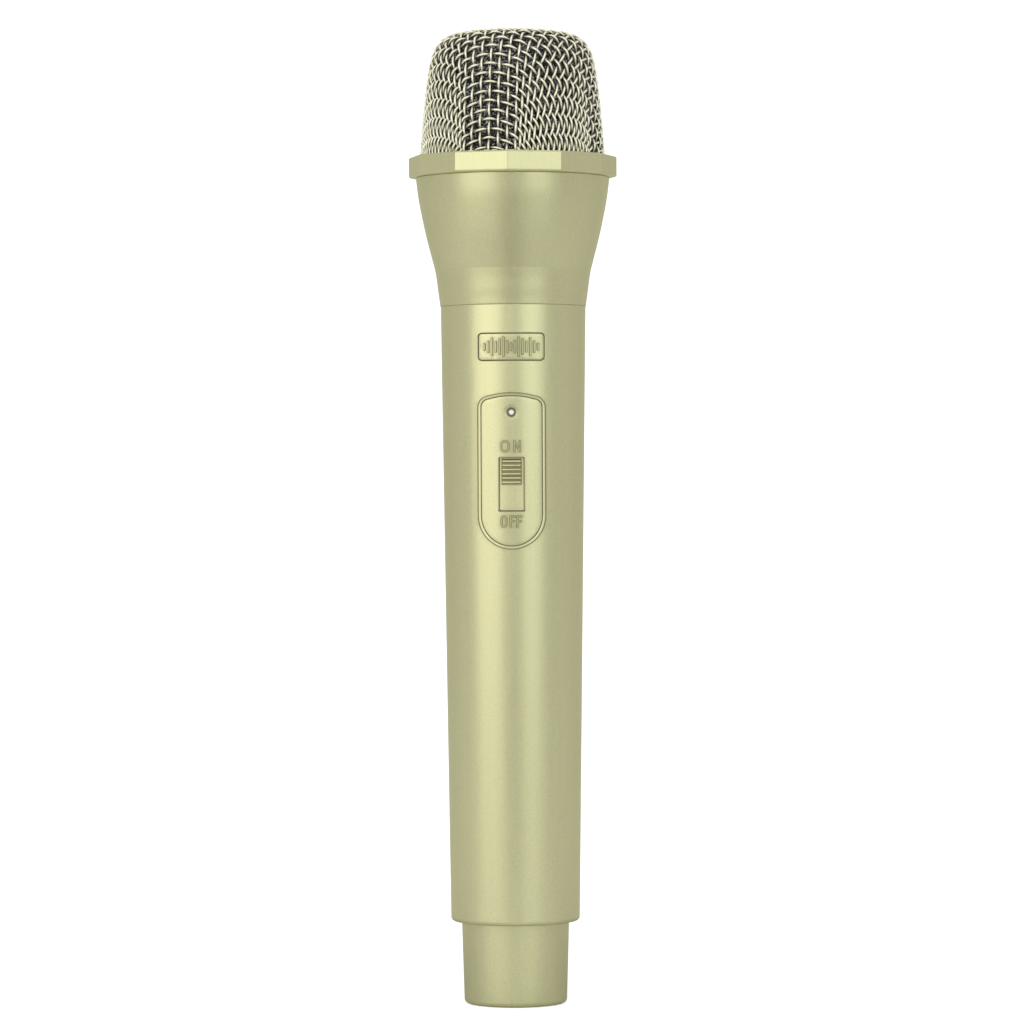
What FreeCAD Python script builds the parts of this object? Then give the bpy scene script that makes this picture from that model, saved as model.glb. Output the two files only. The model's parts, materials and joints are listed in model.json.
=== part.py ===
import FreeCAD, Part
import math
import os

# Handheld karaoke microphone, built as separate parts, one STEP file each in parts/.
# Millimetres. +Z runs up the handle axis, the origin is the centre of the tail's flat bottom
# face, and the front, with the switch, faces -Y. Names ending in _R are radii, _T thicknesses.

V = FreeCAD.Vector
os.makedirs("parts", exist_ok=True)

# ---------------------------------------------------------------- driving dimensions
# handle tube
TUBE_Z0, TUBE_Z1 = 21.0, 177.6
TUBE_R0, TUBE_R1 = 16.40, 18.46      # outer radius at the bottom and at the top
TUBE_WALL = 1.9
TUBE_LIP_R = 13.9                    # bottom lip the tail passes through
TUBE_EDGE = 1.0                      # bottom edge rounding

# collar and neck
COLLAR_BOT_R = 18.74
COLLAR_CREASE_Z, COLLAR_CREASE_R = 186.8, 19.86
COLLAR_TOP_Z, COLLAR_TOP_R = 210.3, 24.70
SPIGOT_R, SPIGOT_BORE_R, SPIGOT_Z0 = 16.38, 12.8, 171.0
NECK_BORE_R = 20.0
NECK_SEAT_Z = 203.0                  # floor of the collar bore
NECK_THREAD_R = 20.42

# twelve-sided anti-roll ring
RING_SIDES = 12
RING_CORNER_R = 26.55
RING_Z0, RING_Z1 = 210.4, 215.7
RING_TURN = -1.0                     # degrees from -Y to the front corner

# grille
MESH_T = 1.36                        # two crossing wires of 0.68
MESH_Z0 = 211.95
FOAM_T = 2.4
FOAM_GAP = 0.1
FOAM_HEM_R, FOAM_Z0 = 22.2, 216.7
SLEEVE_R, SLEEVE_BORE_R = 22.2, 21.25
HEAD_PITCH, HEAD_TURNS = 1.5, 3
HEAD_THREAD_Z = 211.75               # where the sleeve's thread starts
HEAD_RIDGE = (0.78, 0.36)            # thread ridge width at root and crest

# tail
TAIL_R_TOP, TAIL_R_BOT = 13.72, 13.06
TAIL_EDGE = 1.25                     # bottom edge rounding
TAIL_SHOULDER_Z = 21.8
TAIL_SPIGOT_R, TAIL_SPIGOT_Z = 12.28, 29.6
TAIL_BORE_R = 10.6
BUSH_BORE_R = 13.12
TAIL_PITCH, TAIL_TURNS = 2.0, 3
TAIL_THREAD_Z = 24.5                 # where the bush's thread starts
TAIL_RIDGE = (1.02, 0.46)            # thread ridge width at root and crest
THREAD_SINK = 0.12                   # depth of a ridge's root inside its wall

# switch plate and label, as seen square on
PLATE_Z0, PLATE_Z1, PLATE_HALF_W = 116.8, 154.5, 7.70
PLATE_MARGIN = 0.8                   # from the plate's edge to the fine groove round it
PLATE_T = 1.15
PLATE_GAP = 0.22
PLATE_SPAN = (PLATE_Z0 - 3, PLATE_Z1 + 3)
SLOT_Z0, SLOT_Z1, SLOT_HALF_W = 125.4, 139.0, 3.16
KNOB_Z0, KNOB_Z1, KNOB_HALF_W = 132.1, 138.45, 2.42
KNOB_R = 17.78                       # from the handle axis to the pad's face
KNOB_RIBS = 6
KNOB_TRAVEL = 6.1
LED_Z, LED_HOLE_R = 150.4, 1.25
LABEL_Z0, LABEL_Z1, LABEL_HALF_W = 163.5, 170.2, 8.28
LABEL_T = 0.8
LABEL_SPAN = (LABEL_Z0 - 2, LABEL_Z1 + 2)

# sliding cover under the slot
COVER_R0, COVER_R1, COVER_HALF_W = 16.6, 17.25, 3.9

# cells
CELL_R, CELL_L, CELL_NUB_R, CELL_NUB_H = 7.1, 50.5, 2.6, 1.0
CELL_EDGE, CELL_EDGE_MID = 0.5, 0.146  # edge radius, and inset of the arc's middle
CELL_Z0 = 11.0
CONTACT_Z = CELL_Z0 + 2 * CELL_L + 0.05

# board and the things fixed to it
BOARD_FRONT_Y, BOARD_T, BOARD_HALF_W = -8.9, 1.2, 10.9
BOARD_Z0, BOARD_Z1 = 116.0, 170.0
BOARD_BACK_Y = BOARD_FRONT_Y + BOARD_T
MOUNT_Y = BOARD_BACK_Y + 0.01        # where the parts behind the board start
BOARD_SCREW_X, BOARD_SCREW_Z = 7.0, 119.0
SWITCH_PIN_Z = (127.0, 132.0, 137.0)
ANTENNA_X, ANTENNA_Y = -3.0, 3.6
FRAME_SCREW_X = 14.5
RAIL_TOP_Z = 170.6
POST_X = 3.0                         # capsule terminal posts

# switch
KNOB_Z = (KNOB_Z0 + KNOB_Z1) / 2.0
SWITCH_Z = KNOB_Z - KNOB_TRAVEL / 2.0
SWITCH_FRONT_Y = -13.6

# inset of a quarter arc's middle from its square corner, per unit of radius
ARC_INSET = 1 - math.sqrt(0.5)


# ---------------------------------------------------------------- helpers
def export(name, shape):
    """Writes one part, each solid kept as its own."""
    solids = shape.Solids
    shape = solids[0] if len(solids) == 1 else Part.makeCompound(solids)
    shape.exportStep("parts/%s.step" % name)


def line(a, b):
    return Part.makeLine(V(a[0], 0, a[1]), V(b[0], 0, b[1]))


def lines(*points):
    """Straight edges from each point to the next."""
    return [line(a, b) for a, b in zip(points[:-1], points[1:])]


def arc(a, b, c):
    return Part.Arc(V(a[0], 0, a[1]), V(b[0], 0, b[1]), V(c[0], 0, c[1])).toShape()


def spline(points):
    curve = Part.BSplineCurve()
    curve.interpolate([V(r, 0, z) for r, z in points])
    return curve.toShape()


def polygon(points):
    corners = [V(x, 0, z) for x, z in points]
    return Part.makePolygon(corners + [corners[0]])


def spin(face):
    return face.revolve(V(0, 0, 0), V(0, 0, 1), 360)


def turned(*points):
    """Solid of revolution about Z from (r, z) corners."""
    return spin(Part.Face(polygon(points)))


def turned_edges(edges):
    return spin(Part.Face(Part.Wire(Part.__sortEdges__(edges))))


def turned_between(first, second):
    """Solid of revolution between two splined (r, z) profiles."""
    return turned_edges([spline(first), line(first[-1], second[-1]),
                         spline(second[::-1]), line(second[0], first[0])])


def cylinder(r, z0, z1, x=0, y=0):
    return Part.makeCylinder(r, z1 - z0, V(x, y, z0))


def tube(r_in, r_out, z0, z1):
    return cylinder(r_out, z0, z1).cut(cylinder(r_in, z0 - 1, z1 + 1))


def cylinder_y(r, x, z, y0, y1):
    return Part.makeCylinder(r, y1 - y0, V(x, y0, z), V(0, 1, 0))


def box(x0, x1, y0, y1, z0, z1):
    return Part.makeBox(x1 - x0, y1 - y0, z1 - z0, V(x0, y0, z0))


def polar(r, degrees):
    angle = math.radians(degrees)
    return r * math.cos(angle), r * math.sin(angle)


def clean(shape):
    """Merges split faces; keeps the shape as it was if merging fails or spoils it."""
    try:
        merged = shape.removeSplitter()
        if merged.isValid():
            return merged
    except Exception:
        pass
    return shape


def handle_r(z, inset=0.0):
    return TUBE_R0 + (z - TUBE_Z0) * (TUBE_R1 - TUBE_R0) / (TUBE_Z1 - TUBE_Z0) - inset


def skin(inner, outer, z0, z1):
    """The layer of the handle between two insets from its outside face."""
    return turned((handle_r(z0, inner), z0), (handle_r(z0, outer), z0),
                  (handle_r(z1, outer), z1), (handle_r(z1, inner), z1))


def prism(wire, y0=-25.0, y1=-6.0):
    """Extrudes an outline drawn in the XZ plane along Y."""
    moved = wire.copy()
    moved.translate(V(0, y0, 0))
    return Part.Face(moved).extrude(V(0, y1 - y0, 0))


def rounded(x0, x1, z0, z1, r):
    """Rectangle in the XZ plane with rounded corners."""
    e = r * ARC_INSET
    return Part.Wire([
        line((x0 + r, z0), (x1 - r, z0)),
        arc((x1 - r, z0), (x1 - e, z0 + e), (x1, z0 + r)),
        line((x1, z0 + r), (x1, z1 - r)),
        arc((x1, z1 - r), (x1 - e, z1 - e), (x1 - r, z1)),
        line((x1 - r, z1), (x0 + r, z1)),
        arc((x0 + r, z1), (x0 + e, z1 - e), (x0, z1 - r)),
        line((x0, z1 - r), (x0, z0 + r)),
        arc((x0, z0 + r), (x0 + e, z0 + e), (x0 + r, z0)),
    ])


def slot_prism(grow, r):
    return prism(rounded(-SLOT_HALF_W - grow, SLOT_HALF_W + grow,
                         SLOT_Z0 - grow, SLOT_Z1 + grow, r))


def label_prism(grow, r):
    return prism(rounded(-LABEL_HALF_W - grow, LABEL_HALF_W + grow,
                         LABEL_Z0 - grow, LABEL_Z1 + grow, r))


def plate_prism(grow=0.0, y0=-25.0, y1=-6.0):
    """Shield outline, offset from the groove line to the plate's edge plus grow."""
    w = PLATE_HALF_W + PLATE_MARGIN
    z_top, z_bot = PLATE_Z1 + PLATE_MARGIN, PLATE_Z0 - PLATE_MARGIN
    arch_x, arch_z = 5.75, z_top - 0.78      # where the arch meets the shoulder
    side_top, side_bot = z_top - 3.8, z_bot + w
    mid_x, mid_z = w - 0.85, z_top - 1.65    # middle of the shoulder
    top = arc((-arch_x, arch_z), (0, z_top), (arch_x, arch_z))
    right = arc((arch_x, arch_z), (mid_x, mid_z), (w, side_top))
    left = arc((-w, side_top), (-mid_x, mid_z), (-arch_x, arch_z))
    right_side = line((w, side_top), (w, side_bot))
    left_side = line((-w, side_bot), (-w, side_top))
    bottom = arc((w, side_bot), (0, z_bot), (-w, side_bot))
    wire = Part.Wire([top, right, right_side, bottom, left_side, left])
    return prism(wire.makeOffset2D(grow - PLATE_MARGIN), y0, y1)


def thread(root_r, crest_r, pitch, z0, turns, widths):
    """Trapezoid ridge wound on a helix; widths are those of its root and crest."""
    path = Part.makeHelix(pitch, pitch * turns, root_r)
    path.translate(V(0, 0, z0))
    root, crest = widths[0] / 2, widths[1] / 2
    profile = polygon([(root_r, z0 - root), (crest_r, z0 - crest),
                       (crest_r, z0 + crest), (root_r, z0 + root)])
    ridge = Part.Wire(path.Edges).makePipeShell([profile], True, True)
    # the sweep may come back as a shell or a compound, or inside out
    if ridge.ShapeType != "Solid":
        ridge = Part.makeSolid(ridge) if ridge.ShapeType == "Shell" else ridge.Solids[0]
    if ridge.Volume < 0:
        ridge.reverse()
    return ridge


def coil(r, wire_d, pitch, turns, z0, x=0, y=0, top_r=None):
    """Round wire on a helix; top_r sets the angle of a conical one."""
    height = pitch * turns
    if top_r is None:
        path = Part.makeHelix(pitch, height, r)
    else:
        path = Part.makeHelix(pitch, height, r, math.degrees(math.atan((top_r - r) / height)))
    start = V(0, 1, pitch / (2 * math.pi * r))
    profile = Part.Wire(Part.makeCircle(wire_d / 2.0, V(r, 0, 0), start))
    winding = Part.Wire(path.Edges).makePipeShell([profile], True, True)
    winding.translate(V(x, y, z0))
    return winding


# ================================================================ outer shells
def body_tube():
    r0 = handle_r(TUBE_Z0 + TUBE_EDGE)
    inset = TUBE_EDGE * ARC_INSET
    bore_r, bore_z0, bore_z1, taper_z = 14.42, 23.0, 34.0, 36.0
    chamfer = 0.25
    s = turned_edges([
        line((TUBE_LIP_R, TUBE_Z0), (r0 - TUBE_EDGE, TUBE_Z0)),
        arc((r0 - TUBE_EDGE, TUBE_Z0), (r0 - inset, TUBE_Z0 + inset), (r0, TUBE_Z0 + TUBE_EDGE)),
    ] + lines(
        (r0, TUBE_Z0 + TUBE_EDGE),
        (handle_r(TUBE_Z1 - chamfer), TUBE_Z1 - chamfer),
        (handle_r(TUBE_Z1) - chamfer, TUBE_Z1),
        (handle_r(TUBE_Z1, TUBE_WALL), TUBE_Z1),
        (handle_r(taper_z, TUBE_WALL), taper_z),
        (bore_r, bore_z1),
        (bore_r, bore_z0),
        (TUBE_LIP_R, bore_z0),
        (TUBE_LIP_R, TUBE_Z0)))
    # pocket and window for the switch plate
    pocket = skin(PLATE_T + 0.03, -1.0, *PLATE_SPAN).common(plate_prism(PLATE_GAP))
    s = s.cut(pocket).cut(plate_prism(-1.5, y1=-9))
    # shallow step round the pocket's rim
    s = s.cut(skin(0.12, -1.0, *PLATE_SPAN).common(plate_prism(PLATE_GAP + 0.12)))
    # fine groove that runs round the pocket
    groove_half_w = 0.13
    s = s.cut(skin(0.42, -1.0, *PLATE_SPAN).common(
        plate_prism(PLATE_MARGIN + groove_half_w).cut(
            plate_prism(PLATE_MARGIN - groove_half_w, -26, -5))))
    # label pocket, then the shallow step round its rim
    s = s.cut(skin(LABEL_T + 0.03, -1.0, *LABEL_SPAN).common(label_prism(0.16, 1.05)))
    s = s.cut(skin(0.13, -1.0, *LABEL_SPAN).common(label_prism(0.3, 1.2)))
    return clean(s)


LETTER_W = 0.40                      # stroke width
LETTER_HALF_H = 1.45
ON_Z = SLOT_Z1 + 2.85                # middle of the word above the slot
OFF_Z = SLOT_Z0 - 2.45               # middle of the word below it


def stroke(x0, z0, x1, z1):
    """A straight letter stroke between two points, as a prism."""
    dx, dz = x1 - x0, z1 - z0
    half = LETTER_W / 2 / math.hypot(dx, dz)
    nx, nz = -dz * half, dx * half               # half the stroke's width, sideways
    ex, ez = dx * half * 0.98, dz * half * 0.98  # overrun at each end
    return prism(polygon([(x0 - ex + nx, z0 - ez + nz), (x1 + ex + nx, z1 + ez + nz),
                          (x1 + ex - nx, z1 + ez - nz), (x0 - ex - nx, z0 - ez - nz)]))


def letter_o(x, z, half_w):
    w, half_h = LETTER_W, LETTER_HALF_H
    r = half_w * 0.95
    outer = prism(rounded(x - half_w, x + half_w, z - half_h, z + half_h, r))
    return outer.cut(prism(rounded(x - half_w + w, x + half_w - w,
                                   z - half_h + w, z + half_h - w, r - w)))


def letter_n(x0, x1, z):
    z0, z1 = z - LETTER_HALF_H + LETTER_W / 2, z + LETTER_HALF_H - LETTER_W / 2
    return stroke(x0, z0, x0, z1).fuse(stroke(x1, z0, x1, z1)).fuse(stroke(x0, z1, x1, z0))


def letter_f(x, z):
    z0, z1 = z - LETTER_HALF_H + LETTER_W / 2, z + LETTER_HALF_H - LETTER_W / 2
    return stroke(x, z0, x, z1).fuse(stroke(x, z1, x + 1.05, z1)).fuse(
        stroke(x, z + 0.1, x + 0.85, z + 0.1))


def switch_plate():
    s = skin(PLATE_T, 0.0, *PLATE_SPAN).common(plate_prism())
    # front edge eased in two steps: depth, width
    edges = [skin(depth, -1.0, *PLATE_SPAN).cut(plate_prism(-width))
             for depth, width in ((0.17, 0.30), (0.36, 0.14))]
    for edge in edges:
        s = s.cut(edge)
    # curved recess behind the plate where the cover slides
    half_w = COVER_HALF_W + 0.2
    s = s.cut(cylinder(COVER_R1 + 0.08, SLOT_Z0 - KNOB_TRAVEL - 0.9,
                       SLOT_Z1 + KNOB_TRAVEL + 1.0).common(
        box(-half_w, half_w, -25, -5, 110, 160)))
    # slot and its eased edge
    s = s.cut(slot_prism(0, 0.25))
    s = s.cut(skin(0.14, -1.0, SLOT_Z0 - 2, SLOT_Z1 + 2).common(slot_prism(0.14, 0.35)))
    # lamp hole and its countersink
    s = s.cut(cylinder_y(LED_HOLE_R, 0, LED_Z, -25, -8))
    s = s.cut(Part.makeCone(LED_HOLE_R + 1.45, LED_HOLE_R, 1.5,
                            V(0, -handle_r(LED_Z) - 1.05, LED_Z), V(0, 1, 0)))
    # raised ON above the slot and OFF below it
    raised = skin(0.3, -0.16, 118, 146)
    for letter in (letter_o(-1.66, ON_Z, 1.14), letter_n(0.55, 2.32, ON_Z),
                   letter_o(-1.98, OFF_Z, 0.80),
                   letter_f(-0.32, OFF_Z).fuse(letter_f(1.38, OFF_Z))):
        s = s.fuse(raised.common(letter))
    return clean(s)


BAR_HALF_HEIGHTS = [0.9, 1.5, 2.3, 1.4, 2.0, 2.5, 1.6, 1.0, 1.6, 2.5, 2.0, 1.4, 2.3, 1.5, 0.9]
BAR_PITCH, BAR_HALF_W = 0.96, 0.24


def label_plate():
    """Badge with a row of raised bars."""
    s = skin(LABEL_T, 0.0, *LABEL_SPAN).common(label_prism(0, 0.9))
    s = s.cut(skin(0.12, -1.0, *LABEL_SPAN).cut(label_prism(-0.14, 0.8)))
    middle = (LABEL_Z0 + LABEL_Z1) / 2
    raised = skin(0.3, -0.15, LABEL_Z0 - 1, LABEL_Z1 + 1)
    for i, h in enumerate(BAR_HALF_HEIGHTS):
        x = (i - 7) * BAR_PITCH
        s = s.fuse(raised.common(prism(
            rounded(x - BAR_HALF_W, x + BAR_HALF_W, middle - h, middle + h, 0.2))))
    return clean(s)


# outside of the collar as (r, z), below and above its crease
COLLAR_LOWER = [(COLLAR_BOT_R, TUBE_Z1 + 0.25), (19.16, 181.4), (19.5, 184.4),
                (COLLAR_CREASE_R, COLLAR_CREASE_Z)]
COLLAR_FLARE = [(COLLAR_CREASE_R, COLLAR_CREASE_Z), (20.86, 190.6), (21.66, 193.7),
                (22.38, 196.7), (23.04, 199.8), (23.64, 202.8), (24.17, 205.9),
                (COLLAR_TOP_R, COLLAR_TOP_Z)]


def collar():
    seat_z = TUBE_Z1 + 0.02
    s = turned_edges(
        lines((SPIGOT_BORE_R, SPIGOT_Z0), (SPIGOT_R, SPIGOT_Z0), (SPIGOT_R, seat_z),
              (COLLAR_BOT_R - 0.2, seat_z), COLLAR_LOWER[0])
        + [spline(COLLAR_LOWER), spline(COLLAR_FLARE)]
        + lines(COLLAR_FLARE[-1], (NECK_BORE_R, COLLAR_TOP_Z), (NECK_BORE_R, NECK_SEAT_Z),
                (18.6, NECK_SEAT_Z), (18.6, 196.0), (16.6, 184.0),
                (SPIGOT_BORE_R, 179.5), (SPIGOT_BORE_R, SPIGOT_Z0)))
    for x in (-FRAME_SCREW_X, FRAME_SCREW_X):
        s = s.cut(cylinder(0.93, SPIGOT_Z0 - 1, 175.8, x, 0))
    return s


def grille_ring():
    r = RING_CORNER_R
    corners = [V(*polar(r, -90 + RING_TURN + i * 360.0 / RING_SIDES), RING_Z0)
               for i in range(RING_SIDES)]
    s = Part.Face(Part.makePolygon(corners + [corners[0]])).extrude(V(0, 0, RING_Z1 - RING_Z0))
    # eased top and bottom edges: crossed with a body of revolution
    s = s.common(turned((0, RING_Z0), (r - 1.35, RING_Z0), (r + 0.02, RING_Z0 + 0.62),
                        (r + 0.02, RING_Z1 - 0.42), (r - 1.15, RING_Z1), (0, RING_Z1)))
    s = s.cut(cylinder(22.42, RING_Z0 - 1, RING_Z1 + 1))
    s = s.cut(cylinder(23.97, MESH_Z0 - 0.05, RING_Z1 + 1))   # seat of the basket
    return clean(s)


# outside of the basket as (r, z), from its hem to the crown
MESH_PROFILE = [(23.86, MESH_Z0), (23.72, 214.6), (23.44, 219.0), (23.08, 223.4),
                (22.74, 227.4), (22.34, 231.6), (21.86, 235.2), (21.28, 238.3),
                (20.5, 241.0), (19.35, 243.35), (17.65, 245.3), (15.2, 246.65),
                (11.6, 247.45), (6.5, 247.88), (0.0, 248.0)]


def mesh_inset(depth):
    """The basket's profile from its second point on, moved inward along its normals."""
    points = []
    for before, (r, z), after in zip(MESH_PROFILE, MESH_PROFILE[1:], MESH_PROFILE[2:]):
        dr, dz = after[0] - before[0], after[1] - before[1]
        length = math.hypot(dr, dz)
        points.append((r - dz / length * depth, z + dr / length * depth))
    return points + [(0.0, MESH_PROFILE[-1][1] - depth)]


def grille_mesh():
    """Basket as a plain shell."""
    hem = (MESH_PROFILE[0][0] - MESH_T, MESH_Z0)
    return turned_between(MESH_PROFILE, [hem] + mesh_inset(MESH_T))


def grille_foam():
    """Windscreen lining the basket."""
    gap = MESH_T + FOAM_GAP
    outer = [(FOAM_HEM_R, FOAM_Z0)] + mesh_inset(gap)[1:]
    inner = [(FOAM_HEM_R - FOAM_T, FOAM_Z0)] + mesh_inset(gap + FOAM_T)[1:]
    return turned_between(outer, inner)


def grille_sleeve():
    """Threaded sleeve inside the basket's hem."""
    z0 = RING_Z0 + 0.85
    s = tube(SLEEVE_BORE_R, SLEEVE_R, z0, 216.1)
    s = s.fuse(tube(SLEEVE_BORE_R, 22.38, z0, 211.8))
    return clean(s.fuse(thread(SLEEVE_BORE_R + THREAD_SINK, 20.62, HEAD_PITCH,
                               HEAD_THREAD_Z, HEAD_TURNS - 0.4, HEAD_RIDGE)))


def grille_seal():
    """Seal between the collar and the sleeve."""
    return tube(21.45, 22.36, COLLAR_TOP_Z + 0.02, RING_Z0 + 0.8)


def neck_ring():
    """Ring in the collar's bore with the male thread."""
    z0, z1 = NECK_SEAT_Z + 0.05, 215.9
    foot_r, bore_r = NECK_BORE_R - 0.04, 18.55
    s = turned((bore_r, z0), (foot_r, z0), (foot_r, COLLAR_TOP_Z),
               (NECK_THREAD_R, COLLAR_TOP_Z), (NECK_THREAD_R, z1 - 0.3),
               (NECK_THREAD_R - 0.3, z1), (bore_r, z1))
    s = s.fuse(tube(16.6, 18.8, z0, 204.6))
    return clean(s.fuse(thread(NECK_THREAD_R - THREAD_SINK, 21.08, HEAD_PITCH,
                               HEAD_THREAD_Z - HEAD_PITCH / 2, HEAD_TURNS - 0.2, HEAD_RIDGE)))


# ================================================================ capsule
CAPSULE_R = 14.5
CUP_Z0, CUP_Z1 = 207.0, 225.0


def shock_mount():
    """Rubber suspension."""
    return turned((14.55, 206.2), (16.9, 206.2), (18.3, 208.0), (18.48, 208.0),
                  (18.48, 215.92), (19.4, 215.92), (19.4, 216.8), (18.0, 217.9),
                  (16.6, 217.1), (16.2, 211.5), (15.6, 211.0), (15.3, 219.4), (14.55, 219.4))


def capsule_cup():
    wall_r, floor_z = 13.6, 208.3
    s = turned((0, CUP_Z0), (CAPSULE_R - 0.5, CUP_Z0), (CAPSULE_R, CUP_Z0 + 0.5),
               (CAPSULE_R, CUP_Z1), (wall_r, CUP_Z1), (wall_r, floor_z), (0, floor_z))
    for i in range(8):
        s = s.cut(cylinder(0.9, 206, 209, *polar(11.9, i * 45 + 22.5)))
    for x in (-POST_X, POST_X):
        s = s.cut(cylinder(0.75, 206, 209, x, 0))
    return s


# rings of holes in the capsule's top: count, circle radius, hole radius
FRONT_HOLES = ((6, 4.4, 1.05), (12, 8.2, 1.05), (16, 11.2, 0.8))


def capsule_front():
    """Perforated cover that closes the capsule towards +Z."""
    z0, bore_r = CUP_Z1 + 0.05, 12.9
    s = turned_edges([
        line((0, 231.2), (0, 232.2)),
        arc((0, 232.2), (7.2, 231.75), (13.4, 230.2)),
    ] + lines((13.4, 230.2), (CAPSULE_R, 229.0), (CAPSULE_R, z0), (bore_r, z0),
              (bore_r, 229.2)) + [
        arc((bore_r, 229.2), (7.0, 230.75), (0, 231.2)),
    ])
    s = s.cut(cylinder(1.3, 228, 234))
    for count, circle_r, hole_r in FRONT_HOLES:
        for i in range(count):
            s = s.cut(cylinder(hole_r, 226, 234, *polar(circle_r, i * 360.0 / count)))
    return s


def capsule_felt():
    return cylinder(12.7, 228.2, 228.7)


# underside of the diaphragm as (r, z)
DIAPHRAGM_PROFILE = [(0, 226.0), (3.2, 225.6), (6.0, 224.5), (8.1, 222.75), (8.9, 222.6),
                     (10.2, 223.5), (11.6, 223.5), (12.6, 222.9), (13.3, 222.9)]
DIAPHRAGM_T = 0.15


def diaphragm():
    top = [(r, z + DIAPHRAGM_T) for r, z in DIAPHRAGM_PROFILE]
    return turned_between(DIAPHRAGM_PROFILE, top)


def diaphragm_ring():
    return tube(12.5, 13.5, 221.6, 222.76)


def voice_coil():
    return tube(8.0, 8.55, 217.0, 222.35)


def magnet():
    return cylinder(7.5, 210.5, 217.4)


def pole_plate():
    return cylinder(7.75, 217.42, 219.4)


def magnet_yoke():
    s = turned((0, 208.35), (11.0, 208.35), (11.0, 219.3), (8.85, 219.3), (8.85, 217.2),
               (9.6, 216.6), (9.6, 210.45), (0, 210.45))
    for x in (-POST_X, POST_X):
        s = s.cut(cylinder(0.8, 208, 211, x, 0))
    return s


def coil_carrier():
    return tube(11.05, 13.55, 219.4, 221.55).fuse(tube(11.05, 12.0, 214.5, 219.5))


def capsule_board():
    """Terminal board under the cup."""
    s = cylinder(6.2, 205.6, 206.9)
    for x in (-POST_X, POST_X):
        s = s.cut(cylinder(0.62, 205, 208, x, 0))
    return s


def capsule_posts():
    return Part.makeCompound([
        cylinder(0.6, 203.9, 208.3, x, 0).fuse(cylinder(0.95, 204.6, 205.58, x, 0))
        for x in (-POST_X, POST_X)])


# ================================================================ chassis and cells
def open_frame(r_in, r_out, z0, z1, cut_z0, cut_z1):
    """Ring frame open at the front for the board."""
    return tube(r_in, r_out, z0, z1).cut(box(-9.0, 9.0, -20, -4.0, cut_z0, cut_z1))


def chassis():
    z0 = 114.5                       # where what stands on the base disc starts
    s = cylinder(15.3, 113.0, 115.0)
    # side rails and the foot blocks behind them
    for side in (-1, 1):
        s = s.fuse(box(*sorted((side * 9.7, side * 11.9)), -9.9, -6.4, z0, RAIL_TOP_Z))
        s = s.fuse(box(*sorted((side * 10.9, side * 12.6)), -6.4, 6.0, z0, 118.0))
    # back spine that ties the ring frames together
    s = s.fuse(tube(12.9, 14.7, z0, RAIL_TOP_Z).common(box(-7, 7, 8, 20, 114, 171)))
    s = s.fuse(open_frame(12.9, 15.3, 141.5, 144.0, 140.5, 145.5))
    s = s.fuse(open_frame(12.6, 15.9, 168.5, 170.95, 166, 172))
    # board bosses
    for x in (-BOARD_SCREW_X, BOARD_SCREW_X):
        s = s.fuse(box(x - 2.4, x + 2.4, BOARD_BACK_Y + 0.02, -3.6, z0, 121.5))
    # board groove
    s = s.cut(box(-BOARD_HALF_W - 0.05, BOARD_HALF_W + 0.05, BOARD_FRONT_Y - 0.03,
                  BOARD_BACK_Y + 0.03, BOARD_Z0 - 0.05, 175))
    for x in (-BOARD_SCREW_X, BOARD_SCREW_X):
        s = s.cut(cylinder_y(0.82, x, BOARD_SCREW_Z, -9, -3.0))
    # slots for the contact tab and the ground strip
    s = s.cut(box(-1.8, 1.8, -7.65, -6.5, 112, 116))
    s = s.cut(box(-2.4, 2.4, 8.45, 9.35, 112, 116))
    for x in (-FRAME_SCREW_X, FRAME_SCREW_X):
        s = s.cut(cylinder(1.0, 160, 172, x, 0))
    # lead notch
    s = s.cut(box(-2.5, 2.5, 2.0, 6.0, 112, 116))
    return clean(s)


def chassis_screws():
    """Slotted screws that hold the chassis to the collar."""
    screws = []
    for x in (-FRAME_SCREW_X, FRAME_SCREW_X):
        head = cylinder(1.6, 167.2, 168.48, x, 0).cut(
            box(x - 0.25, x + 0.25, -2, 2, 166.5, 167.7))
        screws.append(clean(head.fuse(cylinder(0.9, 168.4, 175.2, x, 0))))
    return Part.makeCompound(screws)


def battery_sleeve():
    return tube(7.5, 8.35, 12.4, 112.95)


def cell(z0):
    r, edge, mid = CELL_R, CELL_EDGE, CELL_EDGE_MID
    top = z0 + CELL_L
    shoulder = top - CELL_NUB_H
    return turned_edges([
        line((0, z0), (r - edge, z0)),
        arc((r - edge, z0), (r - mid, z0 + mid), (r, z0 + edge)),
        line((r, z0 + edge), (r, shoulder - edge)),
        arc((r, shoulder - edge), (r - mid, shoulder - mid), (r - edge, shoulder)),
    ] + lines((r - edge, shoulder), (CELL_NUB_R, shoulder), (CELL_NUB_R - 0.2, top),
              (0, top), (0, z0)))


def battery_lower():
    return cell(CELL_Z0)


def battery_upper():
    return cell(CELL_Z0 + CELL_L)


def battery_contact():
    """Positive contact disc with a tab up to the board."""
    s = cylinder(5.6, CONTACT_Z, 112.5)
    s = s.fuse(box(-1.3, 1.3, -7.3, -4.0, CONTACT_Z, 112.5))
    return clean(s.fuse(box(-1.3, 1.3, -7.3, -6.9, CONTACT_Z, 119.0)))


def ground_strip():
    s = box(-2.0, 2.0, 8.6, 9.1, 3.2, 122.0)
    s = s.fuse(box(-2.0, 2.0, 8.6, 10.2, 2.9, 3.3))
    return clean(s.fuse(box(-2.0, 2.0, BOARD_BACK_Y + 0.02, 8.7, 120.0, 120.4)))


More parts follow.
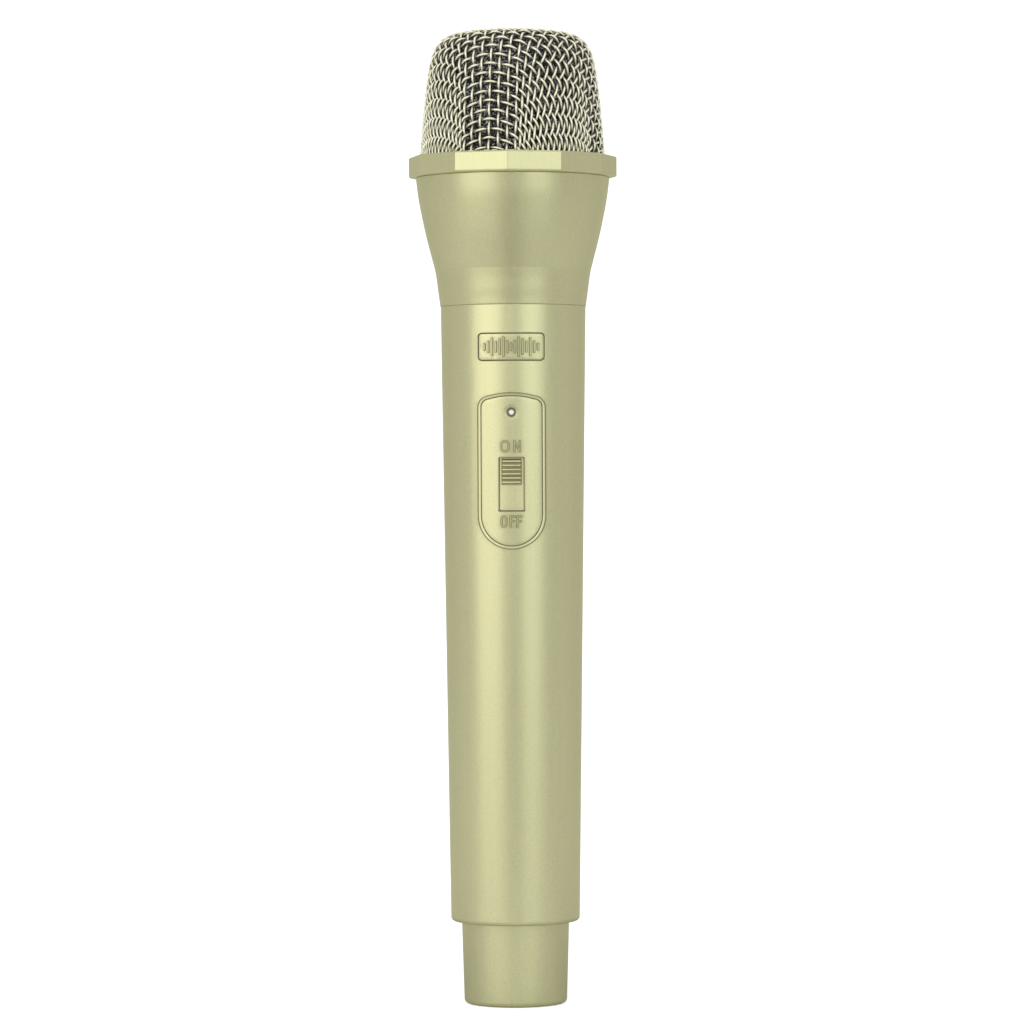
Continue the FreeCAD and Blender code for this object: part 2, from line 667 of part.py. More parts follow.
# ================================================================ board
def main_board():
    s = box(-BOARD_HALF_W, BOARD_HALF_W, BOARD_FRONT_Y, BOARD_BACK_Y, BOARD_Z0, BOARD_Z1)
    # hole radius, x, z
    holes = [(1.05, x, BOARD_SCREW_Z) for x in (-BOARD_SCREW_X, BOARD_SCREW_X)]
    holes += [(0.55, 0, z) for z in SWITCH_PIN_Z]
    holes += [(0.45, x, 165.5) for x in (-1.27, 1.27)]
    for r, x, z in holes:
        s = s.cut(cylinder_y(r, x, z, -12, -5))
    return s


def board_screws():
    """Cross-slotted screws."""
    face, z = BOARD_FRONT_Y, BOARD_SCREW_Z
    screws = []
    for x in (-BOARD_SCREW_X, BOARD_SCREW_X):
        head = cylinder_y(1.75, x, z, face - 1.3, face)
        for half_w, half_h in ((1.3, 0.2), (0.2, 1.3)):
            head = head.cut(box(x - half_w, x + half_w, face - 2, face - 0.8,
                                z - half_h, z + half_h))
        screws.append(clean(head.fuse(cylinder_y(0.8, x, z, face - 0.4, -3.8))))
    return Part.makeCompound(screws)


def rf_shield():
    y = MOUNT_Y
    s = box(-7.0, 5.0, y, y + 3.2, 146.0, 160.0).cut(
        box(-6.7, 4.7, y - 1, y + 2.9, 146.3, 159.7))
    for x in (-4.5, -1.0, 2.5):
        for z in (149.5, 153.0, 156.5):
            s = s.cut(cylinder_y(0.55, x, z, y + 2, y + 4))
    return s


# x0, x1, height off the board, z0, z1
REAR_CHIPS = ((-8.2, -3.4, 1.3, 133.5, 139.5), (0.5, 3.6, 1.0, 124.0, 128.2),
              (-5.2, 1.6, 1.4, 149.2, 154.8))
FRONT_CHIPS = ((-9.3, -6.9, 1.2, 158.0, 161.0), (5.6, 9.2, 1.1, 156.0, 160.4))


def board_chips():
    rear = [box(x0, x1, MOUNT_Y, MOUNT_Y + h, z0, z1) for x0, x1, h, z0, z1 in REAR_CHIPS]
    front = [box(x0, x1, BOARD_FRONT_Y - h, BOARD_FRONT_Y - 0.01, z0, z1)
             for x0, x1, h, z0, z1 in FRONT_CHIPS]
    return Part.makeCompound(rear + front)


def crystal():
    y = MOUNT_Y + 0.01
    can = Part.Face(rounded(-1.2, 1.2, 0, 6.0, 1.1)).extrude(V(0, 3.4, 0))
    can.translate(V(7.6, y, 149.6))
    return clean(can.fuse(box(5.9, 9.3, y, MOUNT_Y + 0.4, 149.1, 156.1)))


# x, z, radius, height off the board
CAPACITORS = ((7.4, 139.0, 2.0, 6.2), (7.4, 133.8, 2.0, 6.2), (-1.0, 142.6, 1.6, 5.0))


def capacitors():
    """Round cans, each with a shallow groove round it."""
    y = MOUNT_Y
    cans = []
    for x, z, r, h in CAPACITORS:
        groove_y = y + h * 0.8
        groove = cylinder_y(r + 1, x, z, groove_y, groove_y + 0.35).cut(
            cylinder_y(r - 0.15, x, z, y, y + h + 1))
        cans.append(cylinder_y(r, x, z, y + 0.01, y + h).cut(groove))
    return Part.makeCompound(cans)


def antenna_core():
    """Flanged bobbin on an arm behind the board."""
    s = cylinder(2.3, 122.5, 141.0, ANTENNA_X, ANTENNA_Y)
    for z in (122.5, 140.2):
        s = s.fuse(cylinder(3.9, z, z + 1.0, ANTENNA_X, ANTENNA_Y))
    return clean(s.fuse(box(ANTENNA_X - 1.6, ANTENNA_X + 1.6, MOUNT_Y + 0.01, ANTENNA_Y,
                            122.5, 123.5)))


def antenna_coil():
    return coil(r=2.85, wire_d=0.6, pitch=1.5, turns=10, z0=124.3, x=ANTENNA_X, y=ANTENNA_Y)


def lead_socket():
    """Socket for the capsule leads."""
    y = MOUNT_Y
    return box(-3.4, 3.4, y + 0.01, y + 4.2, 163.0, 168.2).cut(
        box(-2.6, 2.6, y + 1.0, y + 3.6, 165.2, 169))


def capsule_lead(side):
    """Round lead from the socket up to a capsule post."""
    points = [V(side * x, y, z) for x, y, z in (
        (1.3, MOUNT_Y + 2.3, 165.4), (1.3, MOUNT_Y + 2.3, 170.0), (2.6, -3.2, 178.0),
        (4.4, -1.6, 188.0), (3.8, -0.3, 198.0), (POST_X, 0.0, 203.85))]
    curve = Part.BSplineCurve()
    curve.interpolate(points)
    start = curve.tangent(curve.FirstParameter)[0]
    profile = Part.Wire(Part.makeCircle(0.48, points[0], start))
    return Part.Wire(curve.toShape()).makePipeShell([profile], True, False)


def capsule_lead_red():
    return capsule_lead(-1)


def capsule_lead_black():
    return capsule_lead(1)


# ================================================================ switch
def switch_knob():
    """Ribbed pad on a curved cover slide."""
    s = tube(COVER_R0, COVER_R1, SLOT_Z0 - 0.7, SLOT_Z1 + KNOB_TRAVEL + 0.8).common(
        box(-COVER_HALF_W, COVER_HALF_W, -20, -10, 110, 150))
    s = s.fuse(cylinder(KNOB_R, KNOB_Z0, KNOB_Z1).common(
        box(-KNOB_HALF_W, KNOB_HALF_W, -20, -16.8, KNOB_Z0, KNOB_Z1)))
    pitch = (KNOB_Z1 - KNOB_Z0) / KNOB_RIBS
    root_r, crest_r = 17.1, KNOB_R + 0.5
    root, face, crest = pitch * 0.40, pitch * 0.36, pitch * 0.16   # half widths of a rib
    for i in range(KNOB_RIBS):
        z = KNOB_Z0 + pitch * (i + 0.5)
        rib = turned((root_r, z - root), (KNOB_R, z - face), (crest_r, z - crest),
                     (crest_r, z + crest), (KNOB_R, z + face), (root_r, z + root))
        s = s.fuse(rib.common(box(-KNOB_HALF_W, KNOB_HALF_W, -20, -15, KNOB_Z0, KNOB_Z1)))
    # fork that takes the switch lever
    fork = box(-2.6, 2.6, -16.8, -14.6, KNOB_Z - 3.2, KNOB_Z + 3.2).cut(
        box(-1.75, 1.75, -16.0, -14, KNOB_Z - 2.15, KNOB_Z + 2.15))
    return clean(s.fuse(fork.common(cylinder(16.9, 100, 160))))


def switch_frame():
    """Open-backed can with a lever slot and end feet."""
    s = box(-4.3, 4.3, SWITCH_FRONT_Y, -10.0, SWITCH_Z - 11.5, SWITCH_Z + 11.5).cut(
        box(-3.9, 3.9, SWITCH_FRONT_Y + 0.4, -8.0, SWITCH_Z - 11.1, SWITCH_Z + 11.1))
    slot_half_h = KNOB_TRAVEL / 2 + 2.3
    s = s.cut(box(-1.9, 1.9, -16, -12, SWITCH_Z - slot_half_h, SWITCH_Z + slot_half_h))
    for z0 in (SWITCH_Z - 13.6, SWITCH_Z + 11.3):
        s = s.fuse(box(-2.6, 2.6, -10.4, -10.0, z0, z0 + 2.3))
    return clean(s)


def switch_base():
    s = box(-3.85, 3.85, -10.6, BOARD_FRONT_Y - 0.02, SWITCH_Z - 11.05, SWITCH_Z + 11.05)
    for z in SWITCH_PIN_Z:
        s = s.cut(cylinder_y(0.48, 0, z, -12, -8))
    return s


def switch_terminals():
    return Part.makeCompound([
        clean(cylinder_y(0.42, 0, z, -10.75, -6.9).fuse(
            box(-1.5, 1.5, -10.75, -10.62, z - 1.6, z + 1.6)))
        for z in SWITCH_PIN_Z])


def switch_lever():
    s = box(-3.4, 3.4, -13.1, -11.4, KNOB_Z - 4.2, KNOB_Z + 4.2).fuse(
        box(-1.6, 1.6, -15.75, -13.0, KNOB_Z - 2.0, KNOB_Z + 2.0))
    return clean(s.cut(box(-2.2, 2.2, -12.4, -11.0, KNOB_Z - 3.4, KNOB_Z + 3.4)))


def switch_contact():
    """Strip with two U-shaped feet."""
    s = box(-1.9, 1.9, -12.3, -12.1, KNOB_Z - 3.3, KNOB_Z + 3.3)
    for z0 in (KNOB_Z - 3.2, KNOB_Z + 1.4):
        s = s.fuse(box(-1.2, 1.2, -12.2, -10.85, z0, z0 + 1.8).cut(
            box(-0.9, 0.9, -13, -11.05, z0 - 1, z0 + 3)))
    return clean(s)


def lamp_lens():
    """Round-nosed light pipe with a flange at its back end."""
    r, nose_y, back_y = 0.78, -17.25, -11.6
    s = cylinder_y(r, 0, LED_Z, nose_y, back_y)
    s = s.fuse(Part.makeSphere(r, V(0, nose_y, LED_Z)))
    return clean(s.fuse(cylinder_y(1.6, 0, LED_Z, -12.4, back_y)))


def lamp_chip():
    return box(-1.0, 1.0, -10.1, BOARD_FRONT_Y - 0.01, LED_Z - 1.6, LED_Z + 1.6)


# ================================================================ tail
def tail_bush():
    """Threaded bush inside the bottom of the handle."""
    s = tube(BUSH_BORE_R, 14.38, 23.04, 33.4)
    return clean(s.fuse(thread(BUSH_BORE_R + THREAD_SINK, 12.5, TAIL_PITCH,
                               TAIL_THREAD_Z, TAIL_TURNS + 0.6, TAIL_RIDGE)))


def tail_cap():
    r, edge, inset = TAIL_R_BOT, TAIL_EDGE, TAIL_EDGE * ARC_INSET
    recess_z, floor_z = 0.35, 2.2
    s = turned_edges(
        lines((0, recess_z), (8.6, recess_z), (9.0, 0.0), (r - edge, 0.0))
        + [arc((r - edge, 0.0), (r - inset, inset), (r, edge))]
        + lines((r, edge),
                (TAIL_R_TOP, TAIL_SHOULDER_Z - 0.15),
                (TAIL_R_TOP - 0.15, TAIL_SHOULDER_Z),
                (TAIL_SPIGOT_R, TAIL_SHOULDER_Z),
                (TAIL_SPIGOT_R, TAIL_SPIGOT_Z - 0.4),
                (TAIL_SPIGOT_R - 0.4, TAIL_SPIGOT_Z),
                (TAIL_BORE_R, TAIL_SPIGOT_Z),
                (TAIL_BORE_R, floor_z), (0, floor_z), (0, recess_z)))
    return clean(s.fuse(thread(TAIL_SPIGOT_R - THREAD_SINK, 12.98, TAIL_PITCH,
                               TAIL_THREAD_Z - TAIL_PITCH / 2, TAIL_TURNS - 0.4, TAIL_RIDGE)))


def tail_seal():
    return Part.makeTorus(13.0, 0.6, V(0, 0, TAIL_SHOULDER_Z + 0.62), V(0, 0, 1), 0, 360, 360)


def spring_plate():
    return cylinder(10.3, 2.22, 2.72).fuse(cylinder(2.6, 2.6, 3.3))


def tail_spring():
    return coil(r=4.6, wire_d=0.9, pitch=1.68, turns=4.2, z0=3.28, top_r=3.2)


# each part's file takes its function's name
for build in (
        body_tube, switch_plate, label_plate, collar,
        grille_ring, grille_mesh, grille_foam, grille_sleeve, grille_seal, neck_ring,
        shock_mount, capsule_cup, capsule_front, capsule_felt, diaphragm, diaphragm_ring,
        voice_coil, magnet, pole_plate, magnet_yoke, coil_carrier, capsule_board, capsule_posts,
        chassis, chassis_screws, battery_sleeve, battery_lower, battery_upper,
        battery_contact, ground_strip,
        main_board, board_screws, rf_shield, board_chips, crystal, capacitors,
        antenna_core, antenna_coil, lead_socket, capsule_lead_red, capsule_lead_black,
        switch_knob, switch_frame, switch_base, switch_terminals, switch_lever,
        switch_contact, lamp_lens, lamp_chip,
        tail_bush, tail_cap, tail_seal, spring_plate, tail_spring):
    export(build.__name__, build())
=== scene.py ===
"""Handheld microphone standing upright on a white studio sweep.

It stands on its tail with its axis on Z. The front, which carries the switch, the lamp and the label,
faces -Y, so +X is on the right as seen by the camera. Shapes are built in millimetres and scaled to
metres in piece(); lights, camera and backdrop are in metres.
"""
import bpy
import json
import math
import numpy as np
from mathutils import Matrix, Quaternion, Vector
from mathutils.geometry import delaunay_2d_cdt


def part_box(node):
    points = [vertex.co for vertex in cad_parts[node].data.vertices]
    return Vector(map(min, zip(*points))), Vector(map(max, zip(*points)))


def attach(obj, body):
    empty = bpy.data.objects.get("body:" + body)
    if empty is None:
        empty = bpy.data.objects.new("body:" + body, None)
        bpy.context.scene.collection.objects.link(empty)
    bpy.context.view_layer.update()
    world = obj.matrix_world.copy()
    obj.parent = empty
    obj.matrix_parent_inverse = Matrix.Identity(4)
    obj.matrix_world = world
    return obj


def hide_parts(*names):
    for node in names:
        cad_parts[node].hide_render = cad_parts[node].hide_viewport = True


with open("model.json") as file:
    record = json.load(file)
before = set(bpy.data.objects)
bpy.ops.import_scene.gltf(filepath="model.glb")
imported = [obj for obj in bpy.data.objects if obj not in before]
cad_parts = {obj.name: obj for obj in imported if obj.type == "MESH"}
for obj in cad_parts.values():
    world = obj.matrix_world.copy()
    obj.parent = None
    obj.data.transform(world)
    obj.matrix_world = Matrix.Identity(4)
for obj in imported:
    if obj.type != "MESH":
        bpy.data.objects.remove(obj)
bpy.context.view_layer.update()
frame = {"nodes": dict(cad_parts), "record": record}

MM = 0.001


# ---------------------------------------------------------------- places taken from the frame
def node_box(node):
    low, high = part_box(node)
    return np.array(low) / MM, np.array(high) / MM


TUBE_LO, TUBE_HI = node_box("body_tube")
COLLAR_LO, COLLAR_HI = node_box("collar")
RING_LO, RING_HI = node_box("grille_ring")
MESH_LO, MESH_HI = node_box("grille_mesh")
PLATE_LO, PLATE_HI = node_box("switch_plate")
LABEL_LO, LABEL_HI = node_box("label_plate")
KNOB_LO, KNOB_HI = node_box("switch_knob")
LENS_LO, LENS_HI = node_box("lamp_lens")
CELL_LO, CELL_HI = node_box("battery_lower")
CAP_TOP = node_box("tail_cap")[1][2]

# the handle tube widens evenly from bottom to top
TUBE_Z0, TUBE_Z1 = TUBE_LO[2], TUBE_HI[2]
TUBE_TOP_R = (TUBE_HI[0] - TUBE_LO[0]) / 2 + 0.03
TUBE_BOTTOM_R = TUBE_TOP_R - 2.06

PLATE_HALF = (PLATE_HI[0] - PLATE_LO[0]) / 2
PLATE_Z0, PLATE_Z1 = PLATE_LO[2], PLATE_HI[2]
LABEL_HALF = (LABEL_HI[0] - LABEL_LO[0]) / 2
LABEL_Z0, LABEL_Z1 = LABEL_LO[2], LABEL_HI[2]
LAMP_Z = (LENS_LO[2] + LENS_HI[2]) / 2


def tube_r(z):
    return TUBE_BOTTOM_R + (z - TUBE_Z0) * (TUBE_TOP_R - TUBE_BOTTOM_R) / (TUBE_Z1 - TUBE_Z0)


# ---------------------------------------------------------------- materials
class Graph:
    """Node tree of a new material, built round one Principled shader."""

    def __init__(self, name):
        self.material = bpy.data.materials.new(name)
        self.material.use_nodes = True
        self.tree = self.material.node_tree
        self.tree.nodes.clear()
        output = self.node("OutputMaterial")
        self.shader = self.node("BsdfPrincipled")
        self.link(self.shader.outputs[0], output.inputs[0])
        self.coords = self.node("TexCoord").outputs["Object"]

    def node(self, kind, **settings):
        node = self.tree.nodes.new("ShaderNode" + kind)
        for key, value in settings.items():
            setattr(node, key, value)
        return node

    def link(self, output, socket):
        self.tree.links.new(output, socket)

    def feed(self, socket, value):
        """Give a socket a number, a colour or a link."""
        if isinstance(value, (int, float)):
            socket.default_value = value
        elif isinstance(value, tuple):
            socket.default_value = (*value, 1.0)
        else:
            self.link(value, socket)

    def math(self, operation, *values):
        node = self.node("Math", operation=operation)
        for socket, value in zip(node.inputs, values):
            self.feed(socket, value)
        return node.outputs[0]

    def axes(self):
        """Object coordinates as separate x, y and z."""
        node = self.node("SeparateXYZ")
        self.link(self.coords, node.inputs[0])
        return node.outputs

    def painted_shade(self):
        """The painted shade attribute: 1 in recesses, where shade is painted, 0 on open faces."""
        return self.node("Attribute", attribute_name="painted_shade").outputs["Fac"]

    def noise(self, scale, detail=3.0, rough=0.55, stretch=None, offset=0.0):
        source = self.coords
        if stretch is not None or offset:
            mapping = self.node("Mapping")
            if stretch is not None:
                mapping.inputs["Scale"].default_value = stretch
            mapping.inputs["Location"].default_value = (offset, offset * 0.7, -offset)
            self.link(source, mapping.inputs["Vector"])
            source = mapping.outputs[0]
        node = self.node("TexNoise")
        node.inputs["Scale"].default_value = scale
        node.inputs["Detail"].default_value = detail
        node.inputs["Roughness"].default_value = rough
        self.link(source, node.inputs["Vector"])
        return node.outputs["Fac"]

    def ramp(self, factor, stops):
        node = self.node("ValToRGB")
        elements = node.color_ramp.elements
        while len(elements) < len(stops):
            elements.new(0.5)
        for element, (position, colour) in zip(elements, stops):
            element.position = position
            element.color = (*colour, 1.0)
        self.link(factor, node.inputs[0])
        return node.outputs[0]

    def mix(self, factor, first, second, blend="MIX"):
        node = self.node("Mix", data_type="RGBA", blend_type=blend)
        for index, value in ((0, factor), (6, first), (7, second)):
            self.feed(node.inputs[index], value)
        return node.outputs[2]

    def remap(self, value, to=(0.0, 1.0), span=(0.3, 0.7)):
        """Stretch span of the value onto the two ends of to."""
        node = self.node("MapRange")
        node.inputs["From Min"].default_value = span[0]
        node.inputs["From Max"].default_value = span[1]
        node.inputs["To Min"].default_value = to[0]
        node.inputs["To Max"].default_value = to[1]
        self.link(value, node.inputs["Value"])
        return node.outputs[0]

    def bump(self, height, strength, depth, under=None):
        node = self.node("Bump")
        node.inputs["Strength"].default_value = strength
        node.inputs["Distance"].default_value = depth
        self.link(height, node.inputs["Height"])
        if under is not None:
            self.link(under, node.inputs["Normal"])
        return node.outputs[0]

    def finish(self, **inputs):
        """Feed the shader's inputs, named with underscores for spaces."""
        for key, value in inputs.items():
            self.feed(self.shader.inputs[key.replace("_", " ")], value)
        return self.material


def shade(colour, factor):
    return tuple(value * factor for value in colour)


def gold_paint(name, tone=1.0, rough=0.335):
    """Satin metallic paint: flakes, faint clouds and streaks, slight orange peel, painted shade in
    recesses, which are also rougher.
    """
    g = Graph(name)
    flake = g.noise(scale=3400.0, detail=2.0, rough=0.7)
    cloud = g.noise(scale=60.0, rough=0.5, offset=3.1)
    streak = g.noise(scale=900.0, detail=2.0, rough=0.6, stretch=(1.0, 1.0, 0.03), offset=0.9)
    dark_flake = shade((0.545, 0.530, 0.287), tone)
    light_flake = shade((0.700, 0.690, 0.408), tone)
    cloud_tint = shade((0.60, 0.63, 0.365), tone)
    streak_tint = shade((0.47, 0.47, 0.27), tone)
    colour = g.mix(g.remap(flake, span=(0.25, 0.75)), dark_flake, light_flake)
    colour = g.mix(g.remap(cloud, to=(0.0, 0.28)), colour, cloud_tint)
    colour = g.mix(g.remap(streak, to=(0.0, 0.10)), colour, streak_tint)
    # painted shade: the paint darkens to a dull olive where the vertex mask marks a recess
    painted_shade = g.painted_shade()
    paint_shade_tint = (0.215, 0.203, 0.112)
    recess_roughening = 0.25
    colour = g.mix(painted_shade, colour, paint_shade_tint)
    flake_rough = g.remap(flake, to=(rough - 0.05, rough + 0.07))
    roughness = g.math("MULTIPLY_ADD", painted_shade, recess_roughening, flake_rough)
    normal = g.bump(flake, strength=0.07, depth=0.00004)
    peel = g.noise(scale=700.0, detail=2.0, rough=0.5, offset=1.7)
    normal = g.bump(peel, strength=0.05, depth=0.00006, under=normal)
    return g.finish(Base_Color=colour, Metallic=0.80, Roughness=roughness, Normal=normal,
                    Specular_IOR_Level=0.5, Specular_Tint=(0.91, 0.90, 0.72),
                    Coat_Weight=0.09, Coat_Roughness=0.35)


def wire_material():
    """Bright plated wire with painted shade, darkening to olive on the side that dips under its
    neighbour.
    """
    g = Graph("plated_wire")
    patches = g.noise(scale=500.0, detail=4.0, rough=0.6)
    grain = g.noise(scale=2000.0, rough=0.6, offset=2.3)
    colour = g.mix(g.remap(patches), (0.97, 0.945, 0.69), (1.0, 0.99, 0.82))
    # painted shade on the wire's inner side, where it passes under its neighbours
    wire_shade_tint = (0.085, 0.080, 0.042)
    colour = g.mix(g.painted_shade(), colour, wire_shade_tint)
    return g.finish(Base_Color=colour, Metallic=0.60, Roughness=g.remap(grain, to=(0.25, 0.36)),
                    Normal=g.bump(grain, strength=0.10, depth=0.00004))


def foam_material():
    """Near-black open cells with scattered light specks."""
    g = Graph("windscreen_foam")
    voronoi = g.node("TexVoronoi", feature="F1")
    voronoi.inputs["Scale"].default_value = 1700.0
    g.link(g.coords, voronoi.inputs["Vector"])
    cells = voronoi.outputs["Distance"]
    speckle = g.noise(scale=1650.0, rough=0.75)
    # stops: position, colour
    body = g.ramp(cells, [(0.0, (0.004, 0.0038, 0.0035)), (0.35, (0.013, 0.0125, 0.012)),
                          (0.62, (0.055, 0.052, 0.049))])
    specks = g.ramp(speckle, [(0.54, (0.0, 0.0, 0.0)), (0.585, (0.32, 0.31, 0.30)),
                              (0.63, (0.95, 0.94, 0.92))])
    return g.finish(Base_Color=g.mix(1.0, body, specks, blend="ADD"), Roughness=0.95,
                    Normal=g.bump(cells, strength=0.9, depth=0.0004), Specular_IOR_Level=0.2)


def plain_finish(name, dark, light, metallic, rough, scale, strength, depth,
                 grain_scale=None, stretch=None, **extra):
    """Two close tones mixed by noise, with a finer grain in roughness and bump."""
    g = Graph(name)
    tone = g.noise(scale=scale, detail=4.0, rough=0.6, stretch=stretch)
    colour = g.mix(g.remap(tone), dark, light)
    grain = g.noise(scale=grain_scale or scale * 4, rough=0.6, stretch=stretch, offset=2.3)
    return g.finish(Base_Color=colour, Metallic=metallic, Roughness=g.remap(grain, to=rough),
                    Normal=g.bump(grain, strength=strength, depth=depth), **extra)


def cell_material():
    """Printed jacket: a dark blue sleeve with a gold upper band on each cell."""
    g = Graph("cell_jacket")
    z = g.axes()[2]
    mottle = g.noise(scale=500.0, rough=0.5)
    blue = g.mix(g.remap(mottle), (0.012, 0.030, 0.105), (0.022, 0.050, 0.160))
    gold = g.mix(g.remap(mottle), (0.60, 0.38, 0.09), (0.72, 0.48, 0.13))
    above_foot = g.math("SUBTRACT", z, float(CELL_LO[2] * MM))
    along_cell = g.math("MODULO", above_foot, float((CELL_HI[2] - CELL_LO[2]) * MM))
    band_start = 0.036
    banded = g.math("GREATER_THAN", along_cell, band_start)
    return g.finish(Base_Color=g.mix(banded, blue, gold), Metallic=0.5,
                    Roughness=g.remap(mottle, to=(0.2, 0.32)),
                    Normal=g.bump(mottle, strength=0.05, depth=0.00003))


def lens_material():
    """Milky lamp dome with a painted highlight where it faces the eye and painted shade towards its
    rim and in its seat.
    """
    g = Graph("lamp_lens_milky")
    mottle = g.noise(scale=900.0, detail=2.0, rough=0.5)
    weight = g.node("LayerWeight")
    weight.inputs["Blend"].default_value = 0.42
    rim = weight.outputs["Facing"]
    # painted shade towards the dome's rim and in its seat
    lens_rim_shade_tint = (0.120, 0.115, 0.082)
    lens_seat_shade_tint = (0.26, 0.25, 0.16)
    colour = g.mix(g.remap(mottle), (0.74, 0.76, 0.66), (0.86, 0.88, 0.79))
    colour = g.mix(g.remap(rim, span=(0.04, 0.44)), colour, lens_rim_shade_tint)
    painted_shade = g.painted_shade()
    colour = g.mix(painted_shade, colour, lens_seat_shade_tint)
    # painted highlight: a faint glow where the dome faces the eye, none in the seat
    facing_highlight_glow = g.math("MULTIPLY", g.remap(painted_shade, to=(1.0, 0.0), span=(0.0, 0.5)),
                  g.remap(rim, to=(0.16, 0.0), span=(0.02, 0.24)))
    return g.finish(Base_Color=colour, Roughness=g.remap(mottle, to=(0.06, 0.12)),
                    Normal=g.bump(mottle, strength=0.04, depth=0.00002),
                    Emission_Color=(0.94, 1.0, 0.90), Emission_Strength=facing_highlight_glow)


# slot: (name, dark tone, light tone, metallic, roughness range, noise scale,
#        bump strength, bump depth in metres)
PLAIN_FINISHES = {
    "steel": ("plain_steel", (0.50, 0.50, 0.51), (0.66, 0.66, 0.67),
              1.0, (0.22, 0.40), 250.0, 0.08, 0.00003),
    "turned_alloy": ("turned_alloy", (0.60, 0.60, 0.61), (0.76, 0.76, 0.77),
                     1.0, (0.24, 0.38), 160.0, 0.10, 0.00003),
    "rubber": ("black_rubber", (0.012, 0.012, 0.012), (0.030, 0.030, 0.030),
               0.0, (0.6, 0.8), 400.0, 0.25, 0.00008),
    "black_plastic": ("black_plastic", (0.018, 0.018, 0.020), (0.035, 0.035, 0.038),
                      0.0, (0.42, 0.6), 500.0, 0.2, 0.00006),
    "grey_plastic": ("grey_plastic", (0.13, 0.135, 0.14), (0.19, 0.195, 0.20),
                     0.0, (0.38, 0.55), 400.0, 0.15, 0.00006),
    "board_green": ("board_laminate", (0.006, 0.075, 0.028), (0.012, 0.125, 0.045),
                    0.0, (0.22, 0.34), 260.0, 0.10, 0.00004),
    "chip_black": ("chip_package", (0.010, 0.010, 0.010), (0.028, 0.028, 0.028),
                   0.0, (0.45, 0.6), 1500.0, 0.2, 0.00003),
    "can_tin": ("tinned_sheet", (0.58, 0.58, 0.56), (0.78, 0.78, 0.76),
                1.0, (0.20, 0.42), 180.0, 0.08, 0.00004),
    "magnet": ("ground_magnet", (0.10, 0.10, 0.105), (0.20, 0.20, 0.205),
               0.8, (0.35, 0.5), 500.0, 0.2, 0.00004),
    "film": ("clear_film", (0.80, 0.82, 0.85), (0.92, 0.93, 0.95),
             0.0, (0.08, 0.16), 200.0, 0.1, 0.00003),
    "copper": ("enamelled_copper", (0.48, 0.17, 0.07), (0.66, 0.27, 0.12),
               1.0, (0.18, 0.32), 700.0, 0.1, 0.00003),
    "brass": ("bright_brass", (0.60, 0.42, 0.14), (0.76, 0.56, 0.22),
              1.0, (0.18, 0.34), 350.0, 0.1, 0.00003),
    "felt": ("pressed_felt", (0.020, 0.020, 0.021), (0.065, 0.065, 0.066),
             0.0, (0.9, 1.0), 2500.0, 0.8, 0.0002),
    "lead_red": ("lead_red", (0.35, 0.010, 0.010), (0.50, 0.016, 0.014),
                 0.0, (0.28, 0.4), 600.0, 0.1, 0.00004),
    "lead_black": ("lead_black", (0.010, 0.010, 0.010), (0.022, 0.022, 0.022),
                   0.0, (0.28, 0.4), 600.0, 0.1, 0.00004),
    "cap_sleeve": ("capacitor_sleeve", (0.012, 0.020, 0.110), (0.022, 0.034, 0.170),
                   0.0, (0.2, 0.34), 700.0, 0.1, 0.00003),
}
FINISH_EXTRAS = {
    "turned_alloy": dict(grain_scale=900.0, stretch=(0.12, 0.12, 6.0)),
    "board_green": dict(stretch=(1.0, 1.0, 0.25)),
    "film": dict(Transmission_Weight=0.7),
}

MATERIALS = {
    "gold_paint": gold_paint("champagne_paint"),
    # painted light: the slider gets a lighter copy of the paint, to offset the shade of the recess it
    # sits in
    "gold_knob": gold_paint("champagne_paint_knob_lightened", tone=1.08, rough=0.36),
    "mesh_wire": wire_material(),
    "foam": foam_material(),
}
for slot, finish in PLAIN_FINISHES.items():
    MATERIALS[slot] = plain_finish(*finish, **FINISH_EXTRAS.get(slot, {}))
MATERIALS["cell_jacket"] = cell_material()
MATERIALS["lens"] = lens_material()

for subpart in frame["record"]["subparts"]:
    slots = frame["nodes"][subpart["node"]].data.materials
    slots.clear()
    slots.append(MATERIALS[subpart["material_slot"]])


# ---------------------------------------------------------------- mesh builders, in millimetres
def piece(name, shape, body="handle", slot="gold_paint", replaces=None, sharp=None, material=None):
    """Object from shape = (verts, faces) or (verts, faces, painted shade value of each vertex)."""
    verts, faces, *painted_shade = shape
    mesh = bpy.data.meshes.new(name)
    mesh.from_pydata((np.asarray(verts, float) * MM).tolist(), [],
                     [tuple(int(i) for i in face) for face in faces])
    # the painted shade of each vertex goes into a mesh attribute
    if painted_shade:
        attribute = mesh.attributes.new("painted_shade", "FLOAT", "POINT")
        values = np.clip(np.asarray(painted_shade[0], np.float32), 0.0, 1.0)
        attribute.data.foreach_set("value", values)
    mesh.validate()
    mesh.update()
    mesh.polygons.foreach_set("use_smooth", np.ones(len(mesh.polygons), bool))
    if sharp is not None:
        mesh.set_sharp_from_angle(angle=math.radians(sharp))
    obj = bpy.data.objects.new(name, mesh)
    bpy.context.scene.collection.objects.link(obj)
    mesh.materials.append(MATERIALS[material or slot])
    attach(obj, body)
    if replaces:
        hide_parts(replaces)


def polar(radius, angle, z):
    return radius * math.cos(angle), radius * math.sin(angle), z


def band(first, second, count, flip=False):
    """Quads between two closed rows of count vertices that start at these indices."""
    quads = []
    for i in range(count):
        j = (i + 1) % count
        quads.append((first + i, first + j, second + j, second + i))
    return [quad[:1] + quad[:0:-1] for quad in quads] if flip else quads


